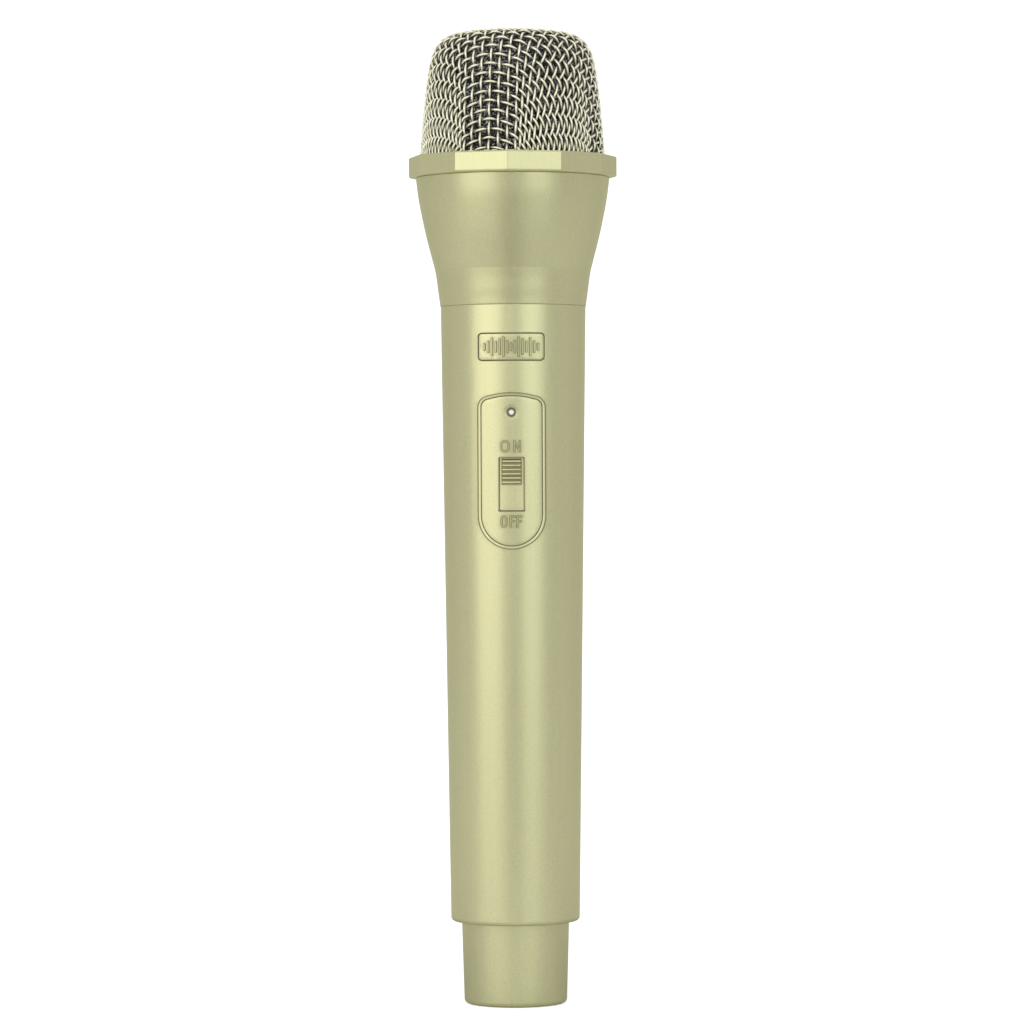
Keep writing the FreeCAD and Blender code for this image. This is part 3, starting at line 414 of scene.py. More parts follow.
def fillet(corners, support=0.14, steps=5):
    """Round the inner corners of (r, z, radius), with support points beside each rounding."""
    out = [np.array(corners[0][:2], float)]
    for i in range(1, len(corners) - 1):
        corner = np.array(corners[i][:2], float)
        back = np.array(corners[i - 1][:2], float) - corner
        ahead = np.array(corners[i + 1][:2], float) - corner
        back_len, ahead_len = np.linalg.norm(back), np.linalg.norm(ahead)
        back, ahead = back / back_len, ahead / ahead_len
        half = math.acos(float(back @ ahead)) / 2
        # distance from the corner to where the rounding starts
        trim = min(corners[i][2] / math.tan(half), back_len * 0.45, ahead_len * 0.45)
        radius = trim * math.tan(half)
        bisector = (back + ahead) / np.linalg.norm(back + ahead)
        centre = corner + bisector * (radius / math.sin(half))
        if back_len > trim + support * 1.5:
            out.append(corner + back * (trim + support))
        start, end = corner + back * trim - centre, corner + ahead * trim - centre
        angle = math.atan2(start[1], start[0])
        sweep = (math.atan2(end[1], end[0]) - angle + math.pi) % (2 * math.pi) - math.pi
        for j in range(steps + 1):
            at = angle + sweep * j / steps
            out.append(centre + radius * np.array([math.cos(at), math.sin(at)]))
        if ahead_len > trim + support * 1.5:
            out.append(corner + ahead * (trim + support))
    out.append(np.array(corners[-1][:2], float))
    return np.array(out)


def lathe(profile, segs, closed=True):
    """Turn a profile of (r, z) about Z. closed joins its last point to the first."""
    verts, rows = [], []
    for r, z in np.asarray(profile, float):
        if r < 1e-6:
            rows.append([len(verts)] * segs)
            verts.append((0.0, 0.0, z))
        else:
            rows.append(list(range(len(verts), len(verts) + segs)))
            verts += [polar(r, 2 * math.pi * i / segs, z) for i in range(segs)]
    faces = []
    for k in range(len(rows) if closed else len(rows) - 1):
        lower, upper = rows[k], rows[(k + 1) % len(rows)]
        for i in range(segs):
            j = (i + 1) % segs
            # a row on the axis is one vertex, so its quads become triangles or vanish
            face = list(dict.fromkeys([lower[i], lower[j], upper[j], upper[i]]))
            if len(face) >= 3:
                faces.append(face)
    return np.array(verts), faces


def spline(points, steps):
    """Catmull-Rom through the points, with this many samples a span."""
    p = np.asarray(points, float)
    p = np.vstack([2 * p[0] - p[1], p, 2 * p[-1] - p[-2]])
    out = []
    for i in range(1, len(p) - 2):
        a, b, c, d = p[i - 1], p[i], p[i + 1], p[i + 2]
        for k in range(steps):
            t = k / steps
            out.append(0.5 * (2 * b + (c - a) * t + (2 * a - 5 * b + 4 * c - d) * t * t
                              + (3 * b - a - 3 * c + d) * t ** 3))
    out.append(p[-2])
    return np.array(out)


# ---------------------------------------------------------------- outlines as signed distances
# Each takes x across and z up; the distance is negative inside the outline.
def box_sd(x, z, x0, x1, z0, z1, radius):
    """Rounded rectangle."""
    out_x = np.abs(x - (x0 + x1) / 2) - (x1 - x0) / 2 + radius
    out_z = np.abs(z - (z0 + z1) / 2) - (z1 - z0) / 2 + radius
    outside = np.hypot(np.maximum(out_x, 0), np.maximum(out_z, 0))
    return np.minimum(np.maximum(out_x, out_z), 0) + outside - radius


def segment_distance(x, z, start, end):
    x0, z0 = start
    run, rise = end[0] - x0, end[1] - z0
    t = np.clip(((x - x0) * run + (z - z0) * rise) / (run * run + rise * rise), 0, 1)
    return np.hypot(x - x0 - t * run, z - z0 - t * rise)


def arc(start, middle, end, count=24):
    """Points from start, stopping short of end, on the circle through all three."""
    (x0, z0), (x1, z1), (x2, z2) = start, middle, end
    scale = 2 * (x0 * (z1 - z2) + x1 * (z2 - z0) + x2 * (z0 - z1))
    sq0, sq1, sq2 = (x * x + z * z for x, z in (start, middle, end))
    centre_x = (sq0 * (z1 - z2) + sq1 * (z2 - z0) + sq2 * (z0 - z1)) / scale
    centre_z = (sq0 * (x2 - x1) + sq1 * (x0 - x2) + sq2 * (x1 - x0)) / scale
    radius = math.hypot(x0 - centre_x, z0 - centre_z)
    first = math.atan2(z0 - centre_z, x0 - centre_x)
    to_middle, sweep = ((math.atan2(z - centre_z, x - centre_x) - first) % (2 * math.pi)
                        for x, z in (middle, end))
    if to_middle > sweep:
        sweep -= 2 * math.pi
    return [(centre_x + radius * math.cos(first + sweep * i / count),
             centre_z + radius * math.sin(first + sweep * i / count)) for i in range(count)]


GROOVE_GAP = 0.8           # from the plate's edge to the outline that shapes it


def shield_outline():
    """Shallow arched top, rounded shoulders, straight sides and half-round bottom."""
    half, top, bottom = PLATE_HALF + GROOVE_GAP, PLATE_Z1 + GROOVE_GAP, PLATE_Z0 - GROOVE_GAP
    arch_x, arch_z = 5.75, top - 0.78
    side_top, side_bottom = top - 3.8, bottom + half
    shoulder_x, shoulder_z = half - 0.85, top - 1.65
    points = arc((-arch_x, arch_z), (0, top), (arch_x, arch_z))
    points += arc((arch_x, arch_z), (shoulder_x, shoulder_z), (half, side_top))
    points += [(half, side_top), (half, side_bottom)]
    points += arc((half, side_bottom), (0, bottom), (-half, side_bottom), 72)
    points += [(-half, side_bottom), (-half, side_top)]
    points += arc((-half, side_top), (-shoulder_x, shoulder_z), (-arch_x, arch_z))
    return np.array(points)


SHIELD = shield_outline()


def shield_sd(x, z):
    """Distance outside the switch plate's edge."""
    shape = x.shape
    x, z = x.ravel(), z.ravel()
    nearest = np.full(x.shape, 1e9)
    inside = np.zeros(x.shape, bool)
    for start, end in zip(SHIELD, np.roll(SHIELD, -1, axis=0)):
        if np.hypot(*(end - start)) < 1e-9:
            continue
        nearest = np.minimum(nearest, segment_distance(x, z, start, end))
        spans = (start[1] > z) != (end[1] > z)
        if spans.any():
            slope = (end[0] - start[0]) * (z - start[1]) / (end[1] - start[1] + 1e-12)
            inside ^= spans & (x < slope + start[0])
    return np.where(inside, -nearest, nearest).reshape(shape) + GROOVE_GAP


def label_sd(x, z):
    return box_sd(x, z, -LABEL_HALF, LABEL_HALF, LABEL_Z0, LABEL_Z1, radius=0.9)


# ---------------------------------------------------------------- relief sheets
def contours(distance, level, rect, step):
    """Closed lines where distance equals level, as arrays of (x, z)."""
    x0, x1, z0, z1 = rect
    xs = np.linspace(x0, x1, int(math.ceil((x1 - x0) / step)) + 1)
    zs = np.linspace(z0, z1, int(math.ceil((z1 - z0) / step)) + 1)
    value = distance(*np.meshgrid(xs, zs)) - level
    value = np.where(np.abs(value) < 1e-9, 1e-9, value)
    above = value > 0
    following = {}

    def crossing(i, j, upward):
        """Point on the grid edge that leaves (i, j) along x, or along z if upward."""
        i2, j2 = (i + 1, j) if upward else (i, j + 1)
        t = value[i, j] / (value[i, j] - value[i2, j2])
        return xs[j] + (xs[j2] - xs[j]) * t, zs[i] + (zs[i2] - zs[i]) * t

    corner = above[:-1, :-1]
    mixed = (corner != above[:-1, 1:]) | (corner != above[1:, :-1]) | (corner != above[1:, 1:])
    for i, j in np.argwhere(mixed):
        i, j = int(i), int(j)
        signs = [above[i, j], above[i, j + 1], above[i + 1, j + 1], above[i + 1, j]]
        sides = [(i, j, 0), (i, j + 1, 1), (i + 1, j, 0), (i, j, 1)]
        ins = [sides[k] for k in range(4) if signs[k] and not signs[(k + 1) % 4]]
        outs = [sides[k] for k in range(4) if not signs[k] and signs[(k + 1) % 4]]
        total = value[i, j] + value[i, j + 1] + value[i + 1, j] + value[i + 1, j + 1]
        if len(ins) == 2 and total > 0:
            outs = outs[::-1]
        following.update(zip(ins, outs))
    loops = []
    while following:
        side = next(iter(following))
        run = []
        while side in following:
            run.append(crossing(*side))
            side = following.pop(side)
        if len(run) > 6:
            loops.append(thin(np.array(run)))
    return loops


def thin(points, tolerance=0.0022, reach=0.55):
    """Drop points that lie on a straight run, keeping steps no longer than reach."""
    count = len(points)
    kept = [0]
    i = 0
    while i < count - 1:
        j = i + 1
        while j + 1 <= count:
            chord = points[(j + 1) % count] - points[i]
            length = math.hypot(*chord)
            if length > reach or length < 1e-9:
                break
            between = points[i + 1:j + 1] - points[i]
            off = np.abs(between[:, 0] * chord[1] - between[:, 1] * chord[0]).max() / length
            if off > tolerance:
                break
            j += 1
        if j >= count:
            break
        kept.append(j)
        i = j
    return points[kept]


def relief(rect, parts, height, keep, painted_shade_at, fine=0.9, step=0.13, skirt_r=None):
    """A sheet wrapped on the front of the tube: x across, z up, height(x, z) above it.

    rect is (x0, x1, z0, z1). parts lists (distance function, levels): the sheet has an edge along
    every level line, so each step in height is crisp. keep(x, z) <= 0 is kept. With skirt_r, open
    edges get a skirt down to that radius; without it, the sheet gets a frame of edges round rect.
    """
    x0, x1, z0, z1 = rect
    points, edges, near = [], [], []

    def add_loop(loop):
        start, count = len(points), len(loop)
        points.extend(tuple(point) for point in loop)
        edges.extend((start + i, start + (i + 1) % count) for i in range(count))

    outer = (x0 - 0.3, x1 + 0.3, z0 - 0.3, z1 + 0.3)
    for distance, levels in parts:
        for level in levels:
            for loop in contours(distance, level, outer, step):
                add_loop(loop)
                near.append(loop)
    if skirt_r is None:
        frame_x = np.linspace(x0, x1, int(round((x1 - x0) / 0.5)) + 1)
        frame_z = np.linspace(z0, z1, int(math.ceil((z1 - z0) / fine)) + 1)
        add_loop([(x, z0) for x in frame_x[:-1]] + [(x1, z) for z in frame_z[:-1]]
                 + [(x, z1) for x in frame_x[::-1][:-1]] + [(x0, z) for z in frame_z[::-1][:-1]])

    # an even grid fills the rest, clear of the level lines and of the far edges
    grid = np.array([(x, z) for z in np.arange(z0 + fine / 2, z1, fine)
                     for x in np.arange(x0 + fine / 2, x1, fine)])
    near = np.vstack(near)
    gap_sq = np.full(len(grid), 1e9)
    for start in range(0, len(near), 400):
        chunk = near[start:start + 400]
        gap_sq = np.minimum(gap_sq, ((grid[:, None, :] - chunk[None]) ** 2).sum(-1).min(1))
    grid = grid[gap_sq > (0.42 * fine) ** 2]
    grid = grid[(grid[:, 0] < x1 - 0.2) & (grid[:, 1] < z1 - 0.2)]
    points += [tuple(point) for point in grid]

    result = delaunay_2d_cdt([Vector(point) for point in points], edges, [], 0, 1e-5)
    flat = np.array([(v.x, v.y) for v in result[0]])
    tris = np.array([tuple(face) for face in result[2]])
    centres = flat[tris].mean(1)
    tris = tris[keep(centres[:, 0], centres[:, 1]) <= 0]
    a, b, c = flat[tris[:, 0]], flat[tris[:, 1]], flat[tris[:, 2]]
    area = ((b[:, 0] - a[:, 0]) * (c[:, 1] - a[:, 1])
            - (b[:, 1] - a[:, 1]) * (c[:, 0] - a[:, 0]))
    tris = np.where((area > 0)[:, None], tris, tris[:, ::-1])[np.abs(area) > 1e-7]

    x, z = flat[:, 0], flat[:, 1]
    radius = tube_r(z)
    angle = np.arcsin(np.clip(x / radius, -1, 1))
    radius = radius + height(x, z)
    verts = np.stack([radius * np.sin(angle), -radius * np.cos(angle), z], -1)
    used = np.unique(tris)
    remap = -np.ones(len(verts), int)
    remap[used] = np.arange(len(used))
    verts = verts[used]
    # painted shade of each vertex, from the given function
    painted_shade = painted_shade_at(x, z)[used]
    faces = [tuple(int(remap[i]) for i in tri) for tri in tris]
    if skirt_r is not None:
        verts, faces = add_skirt(verts, faces, skirt_r)
        # painted shade, full, on the skirt walls
        painted_shade = np.concatenate([painted_shade, np.ones(len(verts) - len(painted_shade))])
    return verts, faces, painted_shade


def add_skirt(verts, faces, skirt_r):
    """Walls from every open edge down to radius skirt_r."""
    open_edges = {}
    for face in faces:
        for u, v in zip(face, face[1:] + face[:1]):
            if (v, u) in open_edges:
                del open_edges[(v, u)]
            else:
                open_edges[(u, v)] = True
    low, extra = {}, []
    for edge in open_edges:
        for i in edge:
            if i not in low:
                x, y, z = verts[i]
                scale = skirt_r / math.hypot(x, y)
                low[i] = len(verts) + len(extra)
                extra.append(np.array([x * scale, y * scale, z]))
    walls = [(v, u, low[u], low[v]) for u, v in open_edges]
    return np.vstack([verts, np.array(extra)]), faces + walls


class Steps:
    """Straight runs between stations, given as distance, value, distance, value and so on."""

    def __init__(self, *stations):
        self.at = np.array(stations[0::2], float)
        self.values = np.array(stations[1::2], float)

    def __call__(self, distance):
        return np.interp(distance, self.at, self.values)


# ---------------------------------------------------------------- handle tube
STRIP_X = 10.0             # half-width of the front strip that holds the two recessed fields
SWITCH_SPAN = (PLATE_Z0 - 2.2, PLATE_Z1 + 2.2)
LABEL_SPAN = (LABEL_Z0 - 1.6, LABEL_Z1 + 1.6)
UNDERLAP = 0.4             # how far each field's floor runs in under its plate

# distance outside the plate's edge, height: floor, softened rim, flat band, fine groove
CHANNEL = Steps(0.05, -1.10, 0.08, -1.10, 0.11, -0.07, 0.22, -0.01, 0.645, -0.01,
                0.70, -0.18, 0.90, -0.18, 0.955, 0.0)
LABEL_RIM = Steps(0.08, -0.75, 0.12, -0.75, 0.16, -0.12, 0.30, 0.0)
# the same distance, painted shade
CHANNEL_SHADE = Steps(0.08, 0.8, 0.11, 0.25, 0.22, 0.0, 0.645, 0.08, 0.70, 0.66,
                     0.90, 0.66, 0.955, 0.08, 1.0, 0.0)
LABEL_RIM_SHADE = Steps(0.12, 0.9, 0.16, 0.45, 0.30, 0.0)


def body_shell():
    """Tube with a rounded foot; two windows in its front strip are left for the fields."""
    front = np.linspace(-STRIP_X, STRIP_X, 41)
    rest = 150
    per_row = len(front) - 1 + rest
    lip_r = 13.9
    edge_r = tube_r(TUBE_Z0 + 1.0)
    top_r = tube_r(TUBE_Z1)

    def row_at(z, radius):
        """The front strip's lines keep an exact x at each height; the rest share the angle."""
        outer = tube_r(z)
        edge = math.asin(STRIP_X / outer)
        angles = [math.asin(x / outer) for x in front]
        angles += [edge + (2 * math.pi - 2 * edge) * i / rest for i in range(1, rest)]
        return [(radius * math.sin(t), -radius * math.cos(t), z) for t in angles]

    profile = [(lip_r, TUBE_Z0 + 2.4), (lip_r, TUBE_Z0 + 0.30), (lip_r + 0.06, TUBE_Z0 + 0.1),
               (lip_r + 0.2, TUBE_Z0), (lip_r + 0.5, TUBE_Z0), (edge_r - 1.25, TUBE_Z0)]
    for i in range(7):
        angle = math.pi / 2 * i / 6
        profile.append((edge_r - 1.0 + math.sin(angle), TUBE_Z0 + 1.0 - math.cos(angle)))
    heights = [TUBE_Z0 + 1.25, *np.arange(26.0, SWITCH_SPAN[0], 6.0), *SWITCH_SPAN, *LABEL_SPAN,
               174.5, TUBE_Z1 - 0.5, TUBE_Z1 - 0.32]
    profile += [(tube_r(z), z) for z in sorted(set(round(float(z), 4) for z in heights))]
    profile += [(top_r - 0.01, TUBE_Z1 - 0.08), (top_r - 0.04, TUBE_Z1 - 0.03),
                (top_r - 0.10, TUBE_Z1 - 0.003), (top_r - 0.4, TUBE_Z1), (top_r - 1.9, TUBE_Z1)]

    verts, faces = [], []
    for r, z in profile:
        verts += row_at(z, r)
    for k in range(len(profile) - 1):
        z0, z1 = profile[k][1], profile[k + 1][1]
        window = any(abs(z0 - span[0]) < 1e-3 and abs(z1 - span[1]) < 1e-3
                     for span in (SWITCH_SPAN, LABEL_SPAN))
        quads = band(k * per_row, (k + 1) * per_row, per_row)
        faces += quads[len(front) - 1:] if window else quads
    return np.array(verts), faces


def field(name, span, distance, height, painted_shade_at):
    """Front patch of the tube that sinks round a plate, with painted shade in its recesses."""
    shape = relief((-STRIP_X, STRIP_X, *span), [(distance, [-UNDERLAP, *height.at])],
                   height=lambda x, z: height(distance(x, z)),
                   keep=lambda x, z: 0.01 - UNDERLAP - distance(x, z),
                   painted_shade_at=lambda x, z: painted_shade_at(distance(x, z)))
    piece(name, shape, sharp=32)


piece("handle_tube", body_shell(), replaces="body_tube")
field("handle_switch_channel", SWITCH_SPAN, shield_sd, CHANNEL, CHANNEL_SHADE)
field("handle_label_rim", LABEL_SPAN, label_sd, LABEL_RIM, LABEL_RIM_SHADE)

# ---------------------------------------------------------------- label plate
BAR_PITCH = 0.96
BAR_HALF_HEIGHTS = [0.9, 1.5, 2.3, 1.4, 2.0, 2.5, 1.6, 1.0, 1.6, 2.5, 2.0, 1.4, 2.3, 1.5, 0.9]

LABEL_EDGE = Steps(-0.26, 0.0, -0.10, -0.05, 0.0, -0.20)
BAR_HEIGHT = Steps(-0.05, 0.24, 0.05, 0.0, 0.16, 0.0)
# painted shade round the feet of raised marks and, fainter, over their tops; painted shade along
# plate edges
FOOT_SHADE = Steps(-0.20, 0.22, -0.05, 0.32, 0.05, 0.95, 0.18, 0.0)   # round raised marks
EDGE_SHADE = Steps(-0.10, 0.0, 0.0, 0.25)


def bars_sd(x, z):
    """Row of rounded upright bars, centred on the label."""
    middle = (LABEL_Z0 + LABEL_Z1) / 2
    bars = []
    for i, half in enumerate(BAR_HALF_HEIGHTS):
        bar_x = (i - 7) * BAR_PITCH
        bars.append(box_sd(x, z, bar_x - 0.24, bar_x + 0.24, middle - half, middle + half,
                           radius=0.22))
    return np.minimum.reduce(bars)


def label_badge():
    return relief(
        (-LABEL_HALF - 0.5, LABEL_HALF + 0.5, LABEL_Z0 - 0.5, LABEL_Z1 + 0.5),
        [(label_sd, LABEL_EDGE.at), (bars_sd, BAR_HEIGHT.at)],
        height=lambda x, z: LABEL_EDGE(label_sd(x, z)) + BAR_HEIGHT(bars_sd(x, z)),
        keep=label_sd,
        painted_shade_at=lambda x, z: np.maximum(FOOT_SHADE(bars_sd(x, z)), EDGE_SHADE(label_sd(x, z))),
        fine=0.6, step=0.09, skirt_r=tube_r(LABEL_Z0) - 0.8)


piece("label_badge", label_badge(), replaces="label_plate", sharp=32)

# ---------------------------------------------------------------- switch plate
SLOT_X = 3.16              # half-width of the slider's slot
SLOT_Z0 = KNOB_LO[2] + 1.1
SLOT_Z1 = KNOB_HI[2] - 6.9
LAMP_HOLE_R = 1.0
STROKE = 0.20              # half-width of the letters' strokes
LETTER_HALF = 1.45         # half their height
LETTER_GAP = 2.85          # from the slot's end to the letters' middle


def glyph_sd(x, z):
    """Raised ON above the slot and OFF below it."""
    half = LETTER_HALF - STROKE

    def letter_o(middle_x, half_width, middle_z):
        half_x = half_width - STROKE
        return np.abs(box_sd(x, z, middle_x - half_x, middle_x + half_x,
                             middle_z - half, middle_z + half, half_x * 0.92))

    middle_on, middle_off = SLOT_Z1 + LETTER_GAP, SLOT_Z0 - LETTER_GAP
    left, right = 0.55 + STROKE, 2.32 - STROKE
    low, high = middle_on - half, middle_on + half
    strokes = [((left, low), (left, high)), ((right, low), (right, high)),
               ((left, high), (right, low))]
    low, high = middle_off - half, middle_off + half
    for stem in (-0.32, 1.38):
        strokes += [((stem, low), (stem, high)), ((stem, high), (stem + 1.05, high)),
                    ((stem, middle_off + 0.1), (stem + 0.85, middle_off + 0.1))]
    marks = [letter_o(-1.66, 1.14, middle_on), letter_o(-1.98, 0.80, middle_off)]
    marks += [segment_distance(x, z, start, end) for start, end in strokes]
    return np.minimum.reduce(marks) - STROKE


def slot_sd(x, z):
    return box_sd(x, z, -SLOT_X, SLOT_X, SLOT_Z0, SLOT_Z1, radius=0.25)


def lamp_hole_sd(x, z):
    return np.hypot(x, z - LAMP_Z) - LAMP_HOLE_R


PLATE_EDGE = Steps(-0.26, 0.0, -0.10, -0.03, 0.0, -0.14)
GLYPH_HEIGHT = Steps(-0.05, 0.22, 0.05, 0.0, 0.16, 0.0)
SLOT_EDGE = Steps(0.0, -0.16, 0.10, -0.04, 0.24, 0.0, 0.36, 0.0, 0.50, 0.0)
LAMP_EDGE = Steps(0.0, -0.40, 0.20, -0.12, 0.46, 0.0)
# painted shade round the slot and the lamp's hole, and a painted shadow under the slot's lower edge
SLOT_SHADE = Steps(0.0, 0.85, 0.10, 0.45, 0.18, 0.0)
SILL_SHADOW = Steps(0.0, 1.0, 0.36, 0.95, 0.50, 0.0)       # under the slot's lower edge
LAMP_SHADE = Steps(0.0, 0.80, 0.26, 0.50, 0.42, 0.0)
PLATE_PARTS = [(shield_sd, PLATE_EDGE), (glyph_sd, GLYPH_HEIGHT), (slot_sd, SLOT_EDGE),
               (lamp_hole_sd, LAMP_EDGE)]


# painted shade over the plate: letters, edge, slot, sill and lamp hole
def plate_painted_shade(x, z):
    slot = slot_sd(x, z)
    return np.maximum.reduce([FOOT_SHADE(glyph_sd(x, z)), EDGE_SHADE(shield_sd(x, z)),
                              SLOT_SHADE(slot), np.where(z < SLOT_Z0 + 0.05, SILL_SHADOW(slot), 0.0),
                              LAMP_SHADE(lamp_hole_sd(x, z))])


def switch_panel():
    """Shield-shaped plate with raised letters, pierced by the slot and the lamp's hole."""
    return relief(
        (-PLATE_HALF - 0.5, PLATE_HALF + 0.5, PLATE_Z0 - 0.5, PLATE_Z1 + 0.5),
        [(distance, steps.at) for distance, steps in PLATE_PARTS],
        height=lambda x, z: sum(steps(distance(x, z)) for distance, steps in PLATE_PARTS),
        keep=lambda x, z: np.maximum.reduce([shield_sd(x, z), -slot_sd(x, z),
                                             -lamp_hole_sd(x, z)]),
        painted_shade_at=plate_painted_shade, fine=0.8, step=0.09, skirt_r=17.3)


piece("switch_panel", switch_panel(), replaces="switch_plate", sharp=32)

# ---------------------------------------------------------------- slider
COVER_R0, COVER_R1 = 16.6, 17.25
COVER_X = (KNOB_HI[0] - KNOB_LO[0]) / 2
PAD_X = 2.42
PAD_Z0 = SLOT_Z0 + 6.5
PAD_Z1 = PAD_Z0 + 6.35
PAD_R = 17.42
PAD_EDGE = 0.26            # width of the pad's softened border
RIB_PITCH = (PAD_Z1 - PAD_Z0) / 6


def lines(marks, fine, low, high):
    """Grid lines from low to high no wider apart than fine, with every mark on a line."""
    stops = sorted(set([low, high] + [mark for mark in marks if low < mark < high]))
    out = []
    for a, b in zip(stops[:-1], stops[1:]):
        count = max(1, int(math.ceil((b - a) / fine - 1e-6)))
        out += [a + (b - a) * i / count for i in range(count)]
    return np.array(out + [high])


def grid_sheet(xs, zs, radius):
    """Quads over (x, z) at a radius, facing outward; returns verts, faces and the rim in order."""
    x, z = np.meshgrid(xs, zs)
    angle = np.arcsin(np.clip(x / radius, -1, 1))
    verts = np.stack([radius * np.sin(angle), -radius * np.cos(angle), z], -1).reshape(-1, 3)
    index = np.arange(x.size).reshape(x.shape)
    quads = np.stack([index[:-1, :-1], index[:-1, 1:], index[1:, 1:], index[1:, :-1]], -1)
    rim = np.concatenate([index[0, :], index[1:, -1], index[-1, -2::-1], index[-2:0:-1, 0]])
    return verts, [tuple(int(i) for i in quad) for quad in quads.reshape(-1, 4)], rim


def wall(upper, lower):
    """Quads between two closed lists of indices."""
    count = len(upper)
    return [(upper[(i + 1) % count], upper[i], lower[i], lower[(i + 1) % count])
            for i in range(count)]


def pad_relief(x, z):
    """Height and painted shade of the ribbed pad, darker in the valleys between ribs."""
    rib = 0.5 - 0.5 * np.cos(2 * math.pi * (((z - PAD_Z0) / RIB_PITCH) % 1.0))
    rib = np.clip(rib * 1.6 - 0.22, 0, 1)
    rib = rib * rib * (3 - 2 * rib)
    inset = np.minimum(PAD_X - np.abs(x), np.minimum(z - PAD_Z0, PAD_Z1 - z))
    t = np.clip(inset / PAD_EDGE, 0, 1)
    return 0.10 + 0.72 * rib * (0.40 + 0.60 * t) - 0.22 * (1 - t) ** 2, 0.62 * (1 - rib) ** 2


def slider():
    """Ribbed pad standing on a curved cover strip, one closed skin each."""
    verts, faces, rim = grid_sheet(
        lines([-PAD_X + 0.07, -PAD_X + 0.15, -PAD_X + PAD_EDGE,
               PAD_X - PAD_EDGE, PAD_X - 0.15, PAD_X - 0.07], 0.24, -PAD_X, PAD_X),
        lines([], RIB_PITCH / 18, PAD_Z0, PAD_Z1), PAD_R)
    height, pad_painted_shade = pad_relief(verts[:, 0], verts[:, 2])
    r = np.hypot(verts[:, 0], verts[:, 1])
    verts = verts * np.stack([(r + height) / r, (r + height) / r, np.ones_like(r)], -1)
    # the pad's foot sits just inside the cover
    foot = verts[rim].copy()
    foot[:, :2] *= ((COVER_R1 - 0.1) / np.hypot(foot[:, 0], foot[:, 1]))[:, None]
    foot_index = range(len(verts), len(verts) + len(rim))
    faces += wall(rim, foot_index)
    faces.append(tuple(reversed(foot_index)))

    z0, z1 = KNOB_LO[2], KNOB_HI[2]
    xs = lines([-COVER_X + 0.06, -PAD_X - 0.35, -PAD_X, PAD_X, PAD_X + 0.35, COVER_X - 0.06],
               0.4, -COVER_X, COVER_X)
    zs = lines([z0 + 0.06, PAD_Z0 - 0.35, PAD_Z0, PAD_Z1, PAD_Z1 + 0.35, z1 - 0.06], 2.0, z0, z1)
    outer, cover_faces, cover_rim = grid_sheet(xs, zs, COVER_R1)
    inner = grid_sheet(xs, zs, COVER_R0)[0]
    outer_start = len(verts) + len(foot)
    inner_start = outer_start + len(outer)
    faces += [tuple(i + outer_start for i in face) for face in cover_faces]
    faces += [tuple(i + inner_start for i in reversed(face)) for face in cover_faces]
    faces += wall(cover_rim + outer_start, cover_rim + inner_start)

    # painted shade on the cover close round the pad; the pad's foot and the cover's inside are fully
    # shaded
    from_pad = np.maximum.reduce([np.abs(outer[:, 0]) - PAD_X, PAD_Z0 - outer[:, 2],
                                  outer[:, 2] - PAD_Z1])
    painted_shade = np.concatenate([pad_painted_shade, np.ones(len(foot)),
                             np.interp(from_pad, [0.0, 0.35], [0.75, 0.0]), np.ones(len(inner))])
    return np.vstack([verts, foot, outer, inner]), faces, painted_shade


piece("switch_slider", slider(), body="slider", replaces="switch_knob", sharp=50,
      material="gold_knob")


# ---------------------------------------------------------------- lamp
def lamp():
    """Shallow dome facing the front, with painted shade in the seat round it."""
    dome_r = (LENS_HI[0] - LENS_LO[0]) / 2 - 0.86
    seat_r = dome_r + 0.22
    profile = [(0.0, 0.0)]
    for i in range(1, 13):
        angle = math.pi / 2 * i / 12
        profile.append((dome_r * math.sin(angle), 0.5 * dome_r * (1 - math.cos(angle))))
    profile += [(dome_r, 0.5 * dome_r + 0.04), (seat_r, 0.5 * dome_r + 0.08),
                (seat_r, 5.0), (0.0, 5.0)]
    verts, faces = lathe(profile, 40)
    x, y, depth = verts.T
    # painted shade, growing deeper into the seat
    painted_shade = np.interp(depth, [dome_r * 0.26, dome_r * 0.48], [0.0, 1.0])
    return np.stack([x, LENS_LO[1] + depth, LAMP_Z - y], -1), faces, painted_shade


piece("lamp_dome", lamp(), slot="lens", replaces="lamp_lens", sharp=50)

# ---------------------------------------------------------------- collar
COLLAR_R = (COLLAR_HI[0] - COLLAR_LO[0]) / 2
COLLAR_TOP = COLLAR_HI[2]
# (r, z) up the outside; the two runs meet in a crease
CREASE = (19.86, 186.8)
COLLAR_LOWER = [(18.62, 177.80), (18.84, 179.6), (19.10, 181.4), (19.48, 184.4), CREASE]
COLLAR_UPPER = [CREASE, (20.86, 190.6), (21.66, 193.7), (22.38, 196.7), (23.04, 199.8),
                (23.64, 202.8), (24.17, 205.9), (COLLAR_R, COLLAR_TOP)]
COLLAR_FOOT = [(16.4, 177.625), (18.50, 177.625), (18.57, 177.64), (18.60, 177.69)]
# (r, z) over the rim and down the inside
COLLAR_INSIDE = [
    (COLLAR_R - 0.02, COLLAR_TOP - 0.14), (COLLAR_R - 0.01, COLLAR_TOP - 0.07),
    (COLLAR_R - 0.03, COLLAR_TOP - 0.02), (COLLAR_R - 0.07, COLLAR_TOP),
    (COLLAR_R - 0.3, COLLAR_TOP), (20.05, COLLAR_TOP), (20.05, 203.05), (18.62, 203.0),
    (18.62, 196.0), (16.65, 184.0), (12.85, 179.5), (12.85, 171.1), (16.36, 171.1)]


